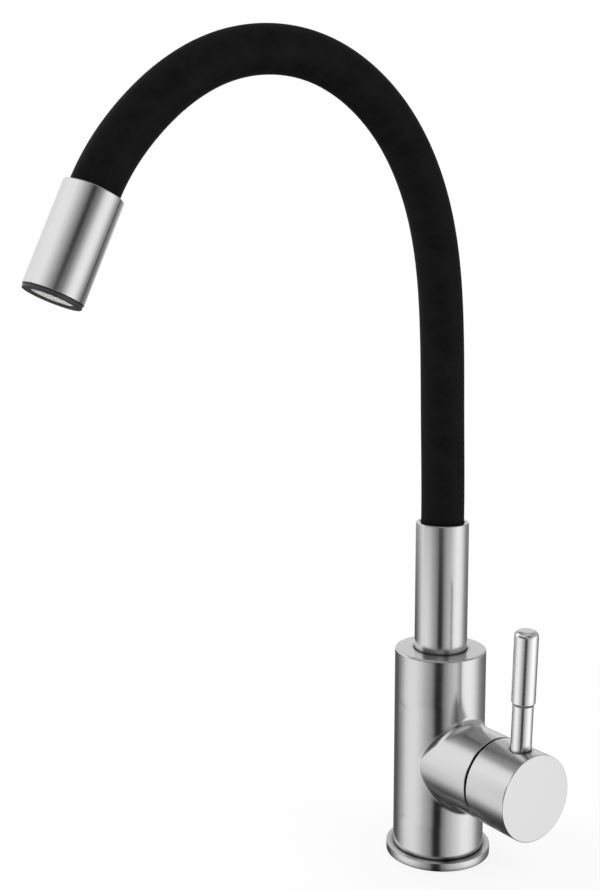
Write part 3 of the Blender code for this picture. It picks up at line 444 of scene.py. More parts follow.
def body_shell():
    """The body's tube and its side housing as one skin, with a fillet where they meet."""
    verts, faces = [], []
    inside = BODY_RADIUS - BODY_WALL
    top = HANDLE_HEIGHT + WINDOW_HALF_HEIGHT
    levels = [top - 2 * WINDOW_HALF_HEIGHT * i / WINDOW_LEVELS for i in range(WINDOW_LEVELS + 1)]
    top_face = [
        (NECK_HOLE, BODY_TOP, BODY_HOLE_EDGE),
        (BODY_RADIUS, BODY_TOP, BODY_EDGE),
        (BODY_RADIUS, 0),
        (NECK_HOLE, 0),
    ]
    rim = rounded(top_face)[:-2]
    ceiling = BODY_TOP - BODY_WALL
    outer_outline = [*rim, *((BODY_RADIUS, z) for z in levels), (BODY_RADIUS, BODY_BOTTOM)]
    outer_rings = rings_of(outer_outline, SIDES, Matrix(), verts)
    inner_outline = [(inside, BODY_BOTTOM), *((inside, z) for z in reversed(levels))]
    inner_outline += [(inside, ceiling), (NECK_HOLE, ceiling)]
    inner_rings = rings_of(inner_outline, SIDES, Matrix(), verts)
    columns = {k % SIDES for k in range(-WINDOW_COLUMNS, WINDOW_COLUMNS)}
    outer_window = range(len(rim), len(rim) + WINDOW_LEVELS)
    inner_window = range(1, 1 + WINDOW_LEVELS)
    for rings, window in ((outer_rings, outer_window), (inner_rings, inner_window)):
        for row, (upper, lower) in enumerate(zip(rings, rings[1:])):
            strip(upper, lower, faces, columns if row in window else ())
    strip(outer_rings[-1], inner_rings[0], faces)
    strip(inner_rings[-1], outer_rings[0], faces)

    outer_levels = outer_rings[len(rim) : len(rim) + WINDOW_LEVELS + 1]
    inner_levels = inner_rings[WINDOW_LEVELS + 1 : 0 : -1]
    outer_border, angles = window_border(levels, outer_levels)
    inner_border, _ = window_border(levels, inner_levels)
    outer_patch = patch_rows(verts, outer_border, angles, BODY_RADIUS, HOUSING_RADIUS, BODY_FILLET)
    inner_patch = patch_rows(verts, inner_border, angles, inside, HOUSING_BORE, 0)
    end = [(HOUSING_RADIUS, 0), (HOUSING_RADIUS, HOUSING_REACH, HOUSING_EDGE), (HOUSING_BORE, HOUSING_REACH)]
    mouth = branch_rows(verts, outer_patch[-1], angles, rounded(end)[1:])
    rows = [outer_border, *outer_patch, *mouth, *reversed(inner_patch), inner_border]
    for upper, lower in zip(rows, rows[1:]):
        strip(upper, lower, faces)
    return piece("body", verts, faces)


# Handle


def handle_cap():
    face = CAP_END_X - CAP_FACE
    outline = [
        (0, CAP_END_X),
        (HOUSING_RADIUS, CAP_END_X, CAP_EDGE),
        (HOUSING_RADIUS, CAP_X, CAP_EDGE),
        (CAP_BORE, CAP_X),
        (CAP_BORE, face),
        (HUB_RADIUS, face),
        (HUB_RADIUS, HUB_X),
        (0, HUB_X),
    ]
    cap = turned("handle_cap_smooth", outline, along_x())
    slope = math.atan2(RELIEF_DEPTH, HOUSING_RADIUS - RELIEF_DROP)
    relief = Matrix.Translation(on_axis(CAP_X, 0, -RELIEF_DROP)) @ Matrix.Rotation(-slope, 4, "Y")
    wide = HOUSING_RADIUS + OVERRUN
    socket = STEM_HALF + GAP
    lever = lever_frame()
    return cut(
        cap,
        tool_box((-2 * wide, -wide, -2 * wide), (0, wide, 0), relief),
        tool_box(on_axis(HUB_X - OVERRUN, -socket, -socket), on_axis(STEM_END_X + GAP, socket, socket)),
        tool_cylinder(
            LEVER_RADIUS + GAP,
            lever @ Vector((0, 0, CAP_BORE - OVERRUN)),
            lever @ Vector((0, 0, wide)),
        ),
        tool_cylinder(
            LEVER_SPIGOT_RADIUS + GAP,
            lever @ Vector((0, 0, STEM_HALF)),
            lever @ Vector((0, 0, HUB_RADIUS + OVERRUN)),
        ),
        tool_cylinder(SCREW_RADIUS + GAP, on_axis(SCREW_X, 0, -STEM_HALF), on_axis(SCREW_X, 0, -wide)),
    )


def lever_stem():
    pin_end = GRIP_END - GRIP_END_WALL - GAP
    outline = [
        (0, pin_end),
        (GRIP_PIN_RADIUS, pin_end),
        (GRIP_PIN_RADIUS, GRIP_START + GRIP_COLLAR_HEIGHT),
        (GRIP_COLLAR_RADIUS, GRIP_START + GRIP_COLLAR_HEIGHT),
        (GRIP_COLLAR_RADIUS, GRIP_START),
        (LEVER_RADIUS, GRIP_START, LEVER_EDGE),
        (LEVER_RADIUS, LEVER_FOOT),
        (LEVER_SPIGOT_RADIUS, LEVER_FOOT),
        (LEVER_SPIGOT_RADIUS, STEM_HALF + GAP),
        (0, STEM_HALF + GAP),
    ]
    return turned("lever_rod", outline, lever_frame(), sides=ROD_SIDES)


def lever_grip():
    start = GRIP_START + GAP
    bore = GRIP_PIN_RADIUS + GAP
    outline = [
        (0, GRIP_END),
        (GRIP_RADIUS, GRIP_END, GRIP_EDGE),
        (GRIP_RADIUS, start + GRIP_TAPER, GRIP_TAPER_EDGE),
        (LEVER_RADIUS, start),
        (bore, start),
        (bore, GRIP_END - GRIP_END_WALL),
        (0, GRIP_END - GRIP_END_WALL),
    ]
    return turned("lever_sleeve", outline, lever_frame(), sides=ROD_SIDES)


# Base, neck and outlet


def base_flange():
    inner = GASKET_RADIUS - GAP
    outer = GASKET_RADIUS + GASKET_WIDTH + GAP
    groove = GASKET_HEIGHT + GAP
    outline = [
        (FLANGE_HOLE_RADIUS, FLANGE_HEIGHT),
        (FLANGE_RADIUS, FLANGE_HEIGHT, FLANGE_EDGE),
        (FLANGE_RADIUS, 0, FLANGE_FOOT_EDGE),
        (outer, 0),
        (outer, groove),
        (inner, groove),
        (inner, 0),
        (FLANGE_HOLE_RADIUS, 0),
    ]
    return turned("flange", outline, closed=True)


def neck_tube():
    grooves = [(CLIP_BOTTOM, CLIP_THICK, CLIP_INSET)]
    for number in range(1, RING_COUNT + 1):
        grooves.append((CLIP_BOTTOM - RING_SPACING * number, RING_THICK, RING_INSET))
    outline = [(NECK_RADIUS, NECK_TOP, NECK_EDGE)]
    for bottom, thick, inset in grooves:
        floor, low, high = NECK_RADIUS - inset - GAP, bottom - GAP, bottom + thick + GAP
        outline += [(NECK_RADIUS, high), (floor, high), (floor, low), (NECK_RADIUS, low)]
    outline += [
        (NECK_RADIUS, NECK_BOTTOM),
        (NECK_BORE, NECK_BOTTOM),
        (NECK_BORE, NECK_SEAT),
        (HOSE_BORE, NECK_SEAT),
        (HOSE_BORE, NECK_TOP, HOSE_BORE_EDGE),
    ]
    return turned("neck", outline, closed=True)


def outlet_shell():
    outline = [
        (OUTLET_RADIUS, OUTLET_SHELL_END, OUTLET_LIP_EDGE),
        (OUTLET_RADIUS, 0, OUTLET_EDGE),
        (HOSE_BORE, 0, HOSE_BORE_EDGE),
        (HOSE_BORE, OUTLET_SEAT),
        (OUTLET_THROAT, OUTLET_SEAT),
        (OUTLET_THROAT, OUTLET_THREAD),
        (OUTLET_THREAD_BORE, OUTLET_THREAD),
        (OUTLET_THREAD_BORE, OUTLET_SHELL_END),
    ]
    return turned("outlet", outline, outlet_frame(), closed=True)


def aerator_housing():
    lip_radius = OUTLET_RADIUS - AERATOR_LIP_INSET
    outline = [
        (lip_radius, OUTLET_LENGTH, OUTLET_EDGE),
        (lip_radius, OUTLET_LIP),
        (AERATOR_BARREL, OUTLET_LIP),
        (AERATOR_BARREL, AERATOR_START),
        (AERATOR_BORE, AERATOR_START),
        (AERATOR_BORE, OUTLET_LENGTH, AERATOR_BORE_EDGE),
    ]
    return turned("aerator", outline, outlet_frame(), closed=True)


# Hose


def centre_line():
    """The hose's middle as points about a step apart, and each joint's place on it.

    It is a smooth curve through the joints, straight up out of the neck and straight
    into the outlet. The curve's slopes come from one set of equations, so that its
    bend doesn't jump at a joint.
    """
    joint_places = [joint_place(number) for number in range(1, HOSE_JOINTS + 1)]
    anchors = [Vector((0, 0, NECK_TOP)), *joint_places, outlet_centre()]
    knots = [0.0]
    for a, b in zip(anchors, anchors[1:]):
        knots.append(knots[-1] + (b - a).length)
    count = len(anchors)
    matrix = np.zeros((count, count))
    values = np.zeros((count, 3))
    matrix[0, 0] = matrix[-1, -1] = 1
    values[0] = (0, 0, 1)
    values[-1] = OUTLET_AXIS
    for i in range(1, count - 1):
        before, after = knots[i] - knots[i - 1], knots[i + 1] - knots[i]
        matrix[i, i - 1 : i + 2] = 1 / before, 2 / before + 2 / after, 1 / after
        rise = (anchors[i] - anchors[i - 1]) / before**2 + (anchors[i + 1] - anchors[i]) / after**2
        values[i] = 3 * rise
    slopes = np.linalg.solve(matrix, values)
    line = []
    joints = []
    for i in range(count - 1):
        span = knots[i + 1] - knots[i]
        steps = max(1, round(span / HOSE_STEP))
        if i:
            joints.append(len(line))
        for k in range(steps):
            t = k / steps
            start, end = anchors[i], anchors[i + 1]
            line.append(
                start * (2 * t**3 - 3 * t**2 + 1)
                + Vector(slopes[i]) * span * (t**3 - 2 * t**2 + t)
                + end * (3 * t**2 - 2 * t**3)
                + Vector(slopes[i + 1]) * span * (t**3 - t**2)
            )
    line.append(anchors[-1])
    return line, joints


def hose_tube(name, line, outer, inner, ends):
    """A closed tube along a line in the YZ plane. Its ends face along the ends' directions."""
    verts, faces = [], []
    lengths = [0.0]
    for a, b in zip(line, line[1:]):
        lengths.append(lengths[-1] + (b - a).length)
    rings = []
    aside = Vector((1, 0, 0))
    count = len(line)
    ways = [ends[0], *(tangent(line, i) for i in range(1, count - 1)), ends[1]]
    for radius, order in ((outer, range(count)), (inner, reversed(range(count)))):
        for i in order:
            up = ways[i].cross(aside)
            rings.append((list(range(len(verts), len(verts) + HOSE_SIDES)), lengths[i]))
            for k in range(HOSE_SIDES):
                angle = 2 * math.pi * k / HOSE_SIDES
                verts.append(line[i] + radius * (aside * math.cos(angle) + up * math.sin(angle)))
    pairs = list(zip(rings, rings[1:])) + [(rings[-1], rings[0])]
    for (upper, _), (lower, _) in pairs:
        strip(upper, lower, faces)
    tube = piece(name, verts, faces)
    add_wrap(tube, rings)
    return tube


def add_wrap(tube, rings):
    """UVs that hold the share of the way round, and the distance along in wrap units."""
    along = {}
    for ring, length in rings:
        for k, vertex in enumerate(ring):
            along[vertex] = (k / HOSE_SIDES, length / WRAP_UNIT)
    layer = tube.data.uv_layers.new(name="wrap")
    for face in tube.data.polygons:
        turns = [along[v][0] for v in face.vertices]
        wraps = max(turns) - min(turns) > 0.5
        for corner, vertex in zip(face.loop_indices, face.vertices):
            turn, length = along[vertex]
            layer.data[corner].uv = (turn + 1 if wraps and turn < 0.5 else turn, length)


def sections(line, joints, foot, depth):
    """The line cut midway between joints, with straight ends into neck and outlet."""
    middles = [(a + b) // 2 for a, b in zip(joints, joints[1:])]
    low = Vector((0, 0, foot))
    first_steps = max(1, round((NECK_TOP - foot) / HOSE_STEP))
    head = [low.lerp(line[0], k / first_steps) for k in range(first_steps)]
    last_steps = max(1, round(depth / HOSE_STEP))
    tail = [line[-1] + OUTLET_AXIS * depth * (k + 1) / last_steps for k in range(last_steps)]
    whole = head + line + tail
    stops = [0] + [m + len(head) for m in middles] + [len(whole) - 1]
    return [whole[a : b + 1] for a, b in zip(stops, stops[1:])], whole, stops


def tangent(line, i):
    low, high = max(i - 1, 0), min(i + 1, len(line) - 1)
    return (line[high] - line[low]).normalized()


def hose(materials):
    line, joints = centre_line()
    for (name, outer, inner, foot, depth), (material, slot) in zip(HOSE_LAYERS, materials):
        cuts, whole, stops = sections(line, joints, foot, depth)
        for number, path in enumerate(cuts, 1):
            ends = tangent(whole, stops[number - 1]), tangent(whole, stops[number])
            tube = hose_tube(f"{name}_bend_{number}", path, outer, inner, ends)
            stands_for = [f"{name}_{number}"] + ([f"{name}_0"] if number == 1 else [])
            middle = joint_place(number)
            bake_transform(tube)
            finish_piece(tube, material, slot, *stands_for)


# Materials. The range that a noise mostly stays in, and the mix node's colour sockets.
NOISE_RANGE = (0.3, 0.7)
MIX_BELOW = 6
MIX_ABOVE = 7
MIX_RESULT = 2


def finish_piece(obj, material, slot, *nodes):
    obj.data.materials.clear()
    obj.data.materials.append(material)
    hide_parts(*nodes)
    return obj


def node(tree, kind, inputs=None, **settings):
    """A shader node. An input's value may be another node's output."""
    made = tree.nodes.new(kind)
    for key, value in settings.items():
        setattr(made, key, value)
    set_inputs(tree, made, inputs or {})
    return made


def set_inputs(tree, made, inputs):
    """Link or set each input, by its name or number."""
    for key, value in inputs.items():
        if isinstance(value, bpy.types.NodeSocket):
            tree.links.new(value, made.inputs[key])
        else:
            made.inputs[key].default_value = value


def maths(tree, operation, *values):
    return node(tree, "ShaderNodeMath", dict(enumerate(values)), operation=operation).outputs[0]


def scaled_noise(tree, vector, scale, detail=2.0, roughness=0.5):
    inputs = {"Vector": vector, "Scale": scale, "Detail": detail, "Roughness": roughness}
    return node(tree, "ShaderNodeTexNoise", inputs).outputs["Fac"]


def mapped(tree, value, limits, low=0.0, high=1.0, **settings):
    """Map a value between two limits onto low to high."""
    inputs = {"Value": value, "From Min": limits[0], "From Max": limits[1], "To Min": low, "To Max": high}
    return node(tree, "ShaderNodeMapRange", inputs, **settings).outputs["Result"]


def softly(tree, value, limits, low=0.0, high=1.0):
    """Map a value likewise, leaving low and reaching high softly."""
    return mapped(tree, value, limits, low, high, interpolation_type="SMOOTHSTEP")


def mixed(tree, share, below, above):
    """A colour between two, each of which may be another node's output."""
    ends = [end if isinstance(end, bpy.types.NodeSocket) else (*end, 1) for end in (below, above)]
    inputs = {"Factor": share, MIX_BELOW: ends[0], MIX_ABOVE: ends[1]}
    return node(tree, "ShaderNodeMix", inputs, data_type="RGBA").outputs[MIX_RESULT]


def tinted(tree, value, dark, light):
    """Mix two colours by a noise's usual range."""
    return mixed(tree, mapped(tree, value, NOISE_RANGE), dark, light)


def bumped(tree, height, strength, depth):
    inputs = {"Height": height, "Strength": strength, "Distance": depth}
    return node(tree, "ShaderNodeBump", inputs).outputs["Normal"]


def new_material(name):
    material = bpy.data.materials.new(name)
    material.use_nodes = True
    tree = material.node_tree
    shader = tree.nodes["Principled BSDF"]
    return material, tree, shader


# Noise cells per metre across the brush lines and along them
BRUSH_ACROSS = 3600.0
BRUSH_ALONG = 90.0


def lathe_lines(tree, place):
    """Texture coordinates that run round a turned piece: fine along it, long around it."""
    inverse = place.inverted()
    coords = node(tree, "ShaderNodeTexCoord").outputs["Object"]
    inputs = {"Vector": coords, "Rotation": inverse.to_euler(), "Location": inverse.translation}
    local = node(tree, "ShaderNodeMapping", inputs).outputs["Vector"]
    axes = node(tree, "ShaderNodeSeparateXYZ", {"Vector": local}).outputs
    flat = node(tree, "ShaderNodeVectorMath", {0: local, 1: (1, 1, 0)}, operation="MULTIPLY")
    radius = node(tree, "ShaderNodeVectorMath", {0: flat.outputs[0]}, operation="LENGTH").outputs["Value"]
    outward = maths(tree, "MULTIPLY", radius, BRUSH_ACROSS)
    across = maths(tree, "ADD", outward, maths(tree, "MULTIPLY", axes["X"], BRUSH_ALONG))
    along = maths(tree, "MULTIPLY", axes["Z"], BRUSH_ACROSS)
    around = maths(tree, "MULTIPLY", axes["Y"], BRUSH_ALONG)
    lines = node(tree, "ShaderNodeCombineXYZ", {"X": across, "Y": around, "Z": along}).outputs[0]
    return local, lines


# Steel: how much the brush lines and a broad cloud count in its tone and gloss
BRUSH_SHARE = 0.75
CLOUD_SHARE = 0.25
CLOUD_SCALE = 55.0
BRUSH_DEPTH = 0.01 * MM
TONE_SPREAD = 0.02
GLOSS_SPREAD = (-0.02, 0.03)

# Its corners and the joins between parts, darker as painted shade: how far the occlusion test looks, the
# shade's tone, and the openness over which it fades out
PAINTED_SHADE_REACH = 2.5 * MM
PAINTED_SHADE_TONE = (0.12, 0.12, 0.12)
PAINTED_SHADE_OPENNESS = (0.45, 0.95)


def brushed_steel(name, place, tone=0.70, roughness=0.18, grain=0.12):
    """Stainless steel brushed round the place's +Z, with painted shade in its corners."""
    material, tree, shader = new_material(name)
    local, lines = lathe_lines(tree, place)
    fine = scaled_noise(tree, lines, 1.0)
    cloud = scaled_noise(tree, local, CLOUD_SCALE, detail=3.0)
    brushed = maths(tree, "MULTIPLY", fine, BRUSH_SHARE)
    shade = maths(tree, "ADD", brushed, maths(tree, "MULTIPLY", cloud, CLOUD_SHARE))
    steel = tinted(tree, shade, (tone - TONE_SPREAD,) * 3, (tone + TONE_SPREAD,) * 3)
    # Painted shade: an occlusion test darkens the base colour towards a dark grey in corners and where parts
    # meet
    shade_mask = node(tree, "ShaderNodeAmbientOcclusion", {"Distance": PAINTED_SHADE_REACH}, samples=8).outputs["AO"]
    smooth, rough = (roughness + change for change in GLOSS_SPREAD)
    set_inputs(
        tree,
        shader,
        {
            "Base Color": mixed(tree, mapped(tree, shade_mask, PAINTED_SHADE_OPENNESS), PAINTED_SHADE_TONE, steel),
            "Metallic": 1.0,
            "Roughness": mapped(tree, shade, NOISE_RANGE, smooth, rough),
            "Normal": bumped(tree, fine, grain, BRUSH_DEPTH),
        },
    )
    return material


# Speckled materials: a fine grain beside the cloud, and how far the gloss varies
GRAIN_FINENESS = 12
GRAIN_STRENGTH = 0.4
GRAIN_DEPTH = 0.02 * MM
PLAIN_GLOSS_SPREAD = (-0.05, 0.07)


def speckled(name, dark, light, roughness, scale, metallic=0.0, specular=0.5):
    """A plain material whose tone, gloss and surface vary a little."""
    material, tree, shader = new_material(name)
    coords = node(tree, "ShaderNodeTexCoord").outputs["Object"]
    cloud = scaled_noise(tree, coords, scale, detail=4.0, roughness=0.6)
    fine = scaled_noise(tree, coords, scale * GRAIN_FINENESS)
    smooth, rough = (roughness + change for change in PLAIN_GLOSS_SPREAD)
    set_inputs(
        tree,
        shader,
        {
            "Base Color": tinted(tree, cloud, dark, light),
            "Metallic": metallic,
            "Specular IOR Level": specular,
            "Roughness": mapped(tree, cloud, NOISE_RANGE, smooth, rough),
            "Normal": bumped(tree, fine, GRAIN_STRENGTH, GRAIN_DEPTH),
        },
    )
    return material


def wrap_coordinates(tree, radius):
    """Coordinates on a bent tube that stay with its surface, in metres, from its UVs."""
    uv = node(tree, "ShaderNodeUVMap", uv_map="wrap").outputs[0]
    axes = node(tree, "ShaderNodeSeparateXYZ", {"Vector": uv}).outputs
    angle = maths(tree, "MULTIPLY", axes["X"], 2 * math.pi)
    x = maths(tree, "MULTIPLY", maths(tree, "COSINE", angle), radius)
    y = maths(tree, "MULTIPLY", maths(tree, "SINE", angle), radius)
    z = maths(tree, "MULTIPLY", axes["Y"], WRAP_UNIT)
    return node(tree, "ShaderNodeCombineXYZ", {"X": x, "Y": y, "Z": z}).outputs[0], axes


# Silicone sleeve
SILICONE_DARK = (0.004, 0.004, 0.004)
SILICONE_LIGHT = (0.008, 0.008, 0.008)
SILICONE_CLOUD_SCALE = 120.0
SILICONE_GRAIN_SCALE = 2600.0
SILICONE_GRAIN_STRENGTH = 0.5
SILICONE_GRAIN_DEPTH = 0.04 * MM
SILICONE_ROUGHNESS = (0.52, 0.66)
SILICONE_SPECULAR = 0.06


def silicone():
    """Matt black silicone with a faint dusty mottling and a fine moulded grain."""
    material, tree, shader = new_material("black_silicone_sleeve")
    coords, _ = wrap_coordinates(tree, SLEEVE_RADIUS)
    cloud = scaled_noise(tree, coords, SILICONE_CLOUD_SCALE, detail=5.0, roughness=0.6)
    grain = scaled_noise(tree, coords, SILICONE_GRAIN_SCALE)
    set_inputs(
        tree,
        shader,
        {
            "Base Color": tinted(tree, cloud, SILICONE_DARK, SILICONE_LIGHT),
            "Roughness": mapped(tree, cloud, NOISE_RANGE, *SILICONE_ROUGHNESS),
            "Specular IOR Level": SILICONE_SPECULAR,
            "Normal": bumped(tree, grain, SILICONE_GRAIN_STRENGTH, SILICONE_GRAIN_DEPTH),
        },
    )
    return material


# Wound core
WINDING_DARK = (0.40, 0.40, 0.40)
WINDING_LIGHT = (0.52, 0.52, 0.51)
WINDING_TURNS = 42.0
WINDING_GROOVE_SHARE = 0.16
WINDING_STRENGTH = 0.8
WINDING_DEPTH = 0.4 * MM
WINDING_ROUGHNESS = (0.30, 0.42)
WINDING_CLOUD_SCALE = 300.0


def wound_steel():
    """Flat steel strip wound into a hose core, so many turns to a wrap unit."""
    material, tree, shader = new_material("wound_steel_core")
    coords, axes = wrap_coordinates(tree, WINDING_RADIUS)
    turns = maths(tree, "ADD", maths(tree, "MULTIPLY", axes["Y"], WINDING_TURNS), axes["X"])
    groove = maths(tree, "PINGPONG", turns, 0.5)
    height = softly(tree, groove, (0.0, WINDING_GROOVE_SHARE))
    cloud = scaled_noise(tree, coords, WINDING_CLOUD_SCALE, detail=3.0, roughness=0.6)
    set_inputs(
        tree,
        shader,
        {
            "Base Color": tinted(tree, cloud, WINDING_DARK, WINDING_LIGHT),
            "Metallic": 1.0,
            "Roughness": mapped(tree, cloud, NOISE_RANGE, *WINDING_ROUGHNESS),
            "Normal": bumped(tree, height, WINDING_STRENGTH, WINDING_DEPTH),
        },
    )
    return material


# The CAD nodes that still show, by slot
NODE_LOOKS = {
    "brass": ("waterway_core", "cartridge_nut", "cartridge_stem", "lower_ferrule", "upper_ferrule"),
    "black_rubber": ("base_gasket", "cartridge_seal", "upper_o_ring", "lower_o_ring", "aerator_gasket"),
    "white_plastic": ("cartridge_base", "cartridge_shell", "aerator_insert"),
    "dark_plastic": ("stem_carrier", "neck_slip_ring"),
    "ceramic": ("fixed_disc", "moving_disc"),
    "wound_steel": ("stem_pin", "handle_screw", "neck_clip", "aerator_screen"),
}


def dress_nodes(materials):
    """Give each CAD node that still shows its procedural material."""
    for name, obj in frame["nodes"].items():
        if obj.hide_render:
            continue
        look = next(slot for slot, names in NODE_LOOKS.items() if name in names)
        obj.data.materials.clear()
        obj.data.materials.append(materials[look])


# Studio: a room round the faucet, and a floor that is shaded near it
STUDIO_SIDES = 96
STUDIO_RADIUS = 4.0
STUDIO_ROWS = 32
STUDIO_BRIGHTEST = 1.2
FLOOR_MIDDLE = 0.4
FLOOR_FADE = (0.08, 0.34)
FLOOR_FADE_START = 0.80
FLOOR_TONE = 0.95
MATT_LIGHT = 0.92

# Lamps: name, place, size and watts
LAMP_TARGET = Vector((0, -0.05, 0.18))
LAMPS = (
    ("key_lamp", (-0.9, -1.4, 1.5), 1.2, 8),
    ("fill_lamp", (1.6, 0.6, 1.2), 1.4, 5),
)


def seen_as_image(tree):
    """1 for rays that show a picture of what they meet, and 0 for rays that only light it."""
    path = node(tree, "ShaderNodeLightPath").outputs
    direct = maths(tree, "MAXIMUM", path["Is Camera Ray"], path["Is Glossy Ray"])
    return maths(tree, "MAXIMUM", direct, path["Is Transmission Ray"])


def studio_floor():
    """A white floor: shaded near the faucet, and melting into the background."""
    disc = turned("floor", [(0, 0), (FLOOR_MIDDLE, 0), (STUDIO_RADIUS, 0)], sides=STUDIO_SIDES)
    material, tree, shader = new_material("floor_white")
    coords = node(tree, "ShaderNodeTexCoord").outputs["Object"]
    distance = node(tree, "ShaderNodeVectorMath", {0: coords}, operation="LENGTH").outputs["Value"]
    fade = softly(tree, distance, FLOOR_FADE, FLOOR_FADE_START)
    share = maths(tree, "MULTIPLY", fade, seen_as_image(tree))
    white = node(tree, "ShaderNodeEmission", {"Color": (1, 1, 1, 1), "Strength": 1.0}).outputs[0]
    mix = node(tree, "ShaderNodeMixShader", {0: share, 1: shader.outputs[0], 2: white}).outputs[0]
    tone = (FLOOR_TONE, FLOOR_TONE, FLOOR_TONE, 1)
    set_inputs(tree, shader, {"Base Color": tone, "Roughness": 1.0, "Specular IOR Level": 0.0})
    tree.links.new(mix, tree.nodes["Material Output"].inputs["Surface"])
    disc.data.materials.append(material)
    disc.visible_glossy = False


# What the steel mirrors: tones by the angle round the faucet from the camera's side,
# in degrees, below the horizon, just above it and higher up. A tone of 1 is white.
LOW_TONES = (
    (-180, 0.16),
    (-160, 0.13),
    (-137, 0.10),
    (-120, 0.26),
    (-106, 0.55),
    (-93, 0.88),
    (-79, 1.00),
    (-62, 1.00),
    (-48, 0.82),
    (-36, 0.58),
    (-24, 0.42),
    (-15, 0.24),
    (-11, 0.01),
    (5, 0.01),
    (9, 0.22),
    (15, 0.36),
    (26, 0.58),
    (38, 0.76),
    (50, 0.92),
    (66, 1.15),
    (80, 1.15),
    (94, 1.00),
    (105, 0.70),
    (118, 0.36),
    (132, 0.22),
    (150, 0.16),
    (180, 0.16),
)
MIDDLE_TONES = (
    (-180, 0.90),
    (-155, 0.85),
    (-136, 0.92),
    (-105, 1.00),
    (-93, 1.05),
    (-86, 0.60),
    (-78, 0.14),
    (-60, 0.08),
    (-45, 0.06),
    (-18, 0.06),
    (-4, 0.22),
    (10, 0.42),
    (25, 0.36),
    (36, 0.24),
    (50, 0.59),
    (65, 1.04),
    (80, 1.16),
    (95, 1.05),
    (110, 0.65),
    (122, 0.40),
    (145, 0.40),
    (160, 0.65),
    (180, 0.90),
)
HIGH_TONES = (
    (-180, 0.60),
    (-155, 0.65),
    (-136, 0.92),
    (-105, 1.00),
    (-88, 1.10),
    (-51, 1.12),
    (-32, 0.92),
    (-13, 0.60),
    (2, 0.34),
    (12, 0.18),
    (17, 0.03),
    (25, 0.03),
    (36, 0.20),
    (60, 0.40),
    (120, 0.40),
    (145, 0.40),
    (180, 0.60),
)

# Where one tone goes over into another, as shares of the room's radius above the floor
HORIZON = (-0.28, 0.02)
WALL_TOP = (0.29, 0.39)
WALL_TILT = 0.15
CEILING = (0.655, 0.745)
CEILING_TONE = 0.22
ZENITH = (0.84, 0.94)
ZENITH_TONE = 0.45
NADIR = (-0.79, -0.40)
NADIR_TONE = 0.05


def studio_shell():
    """A lit room round the faucet, which only reflections see.

    It is far away, so a streak in the steel keeps its place along the whole piece.
    """
    outline = [(0, STUDIO_RADIUS)]
    for k in range(1, STUDIO_ROWS):
        angle = math.pi * k / STUDIO_ROWS
        outline.append((STUDIO_RADIUS * math.sin(angle), STUDIO_RADIUS * math.cos(angle)))
    outline.append((0, -STUDIO_RADIUS))
    shell = turned("studio_shell", outline, sides=STUDIO_SIDES)
    material, tree, shader = new_material("studio_tones")
    tree.nodes.remove(shader)
    coords = node(tree, "ShaderNodeTexCoord").outputs["Object"]
    facing = math.atan2(CAMERA_PLACE.y, CAMERA_PLACE.x)
    turn = node(tree, "ShaderNodeMapping", {"Vector": coords, "Rotation": (0, 0, math.pi - facing)})
    axes = node(tree, "ShaderNodeSeparateXYZ", {"Vector": turn.outputs[0]}).outputs
    back = maths(tree, "MULTIPLY", axes["X"], -1.0)
    aside = maths(tree, "MULTIPLY", axes["Y"], -1.0)
    around = maths(tree, "ARCTAN2", aside, back)
    share = maths(tree, "MULTIPLY_ADD", around, 0.5 / math.pi, 0.5)
    low, middle, high = (tone_ramp(tree, share, tones) for tones in (LOW_TONES, MIDDLE_TONES, HIGH_TONES))
    rise = maths(tree, "DIVIDE", axes["Z"], STUDIO_RADIUS)
    sideways = maths(tree, "DIVIDE", aside, STUDIO_RADIUS)
    tilted = maths(tree, "MULTIPLY_ADD", sideways, WALL_TILT, rise)
    wall = faded(tree, tilted, WALL_TOP, faded(tree, rise, HORIZON, low, middle), high)
    ceiling = faded(tree, rise, ZENITH, (CEILING_TONE,) * 3, (ZENITH_TONE,) * 3)
    topped = faded(tree, rise, CEILING, wall, ceiling)
    whole = faded(tree, rise, NADIR, (NADIR_TONE,) * 3, topped)
    glow = node(tree, "ShaderNodeEmission", {"Color": whole, "Strength": STUDIO_BRIGHTEST}).outputs[0]
    tree.links.new(glow, tree.nodes["Material Output"].inputs["Surface"])
    shell.data.materials.append(material)
    shell.visible_camera = False
    shell.visible_diffuse = False
    shell.visible_transmission = False
    shell.visible_shadow = False
    shell.visible_volume_scatter = False


def tone_ramp(tree, share, tones):
    """The tones as colours by the share of a turn, as parts of the brightest one."""
    ramp = node(tree, "ShaderNodeValToRGB", {"Fac": share})
    ramp.color_ramp.interpolation = "EASE"
    fill_ramp(ramp, [((angle + 180) / 360, tone / STUDIO_BRIGHTEST) for angle, tone in tones])
    return ramp.outputs["Color"]


def faded(tree, value, limits, below, above):
    """A colour that goes softly from one below the limits to another above them."""
    return mixed(tree, softly(tree, value, limits), below, above)


def fill_ramp(ramp, stops):
    elements = ramp.color_ramp.elements
    while len(elements) < len(stops):
        elements.new(0.5)
    for element, (place, tone) in zip(elements, stops):
        element.position = place
        element.color = (tone, tone, tone, 1)


def studio_world():
    """White for what the camera and reflections see, and a plain level for matt surfaces."""
    world = bpy.data.worlds.new("studio_world")
    bpy.context.scene.world = world
    world.use_nodes = True
    tree = world.node_tree
    tree.nodes.clear()
    plain = node(tree, "ShaderNodeBackground", {"Color": (1, 1, 1, 1), "Strength": MATT_LIGHT}).outputs[0]
    white = node(tree, "ShaderNodeBackground", {"Color": (1, 1, 1, 1), "Strength": 1.0}).outputs[0]
    mix = node(tree, "ShaderNodeMixShader", {0: seen_as_image(tree), 1: plain, 2: white}).outputs[0]
    node(tree, "ShaderNodeOutputWorld", {"Surface": mix})


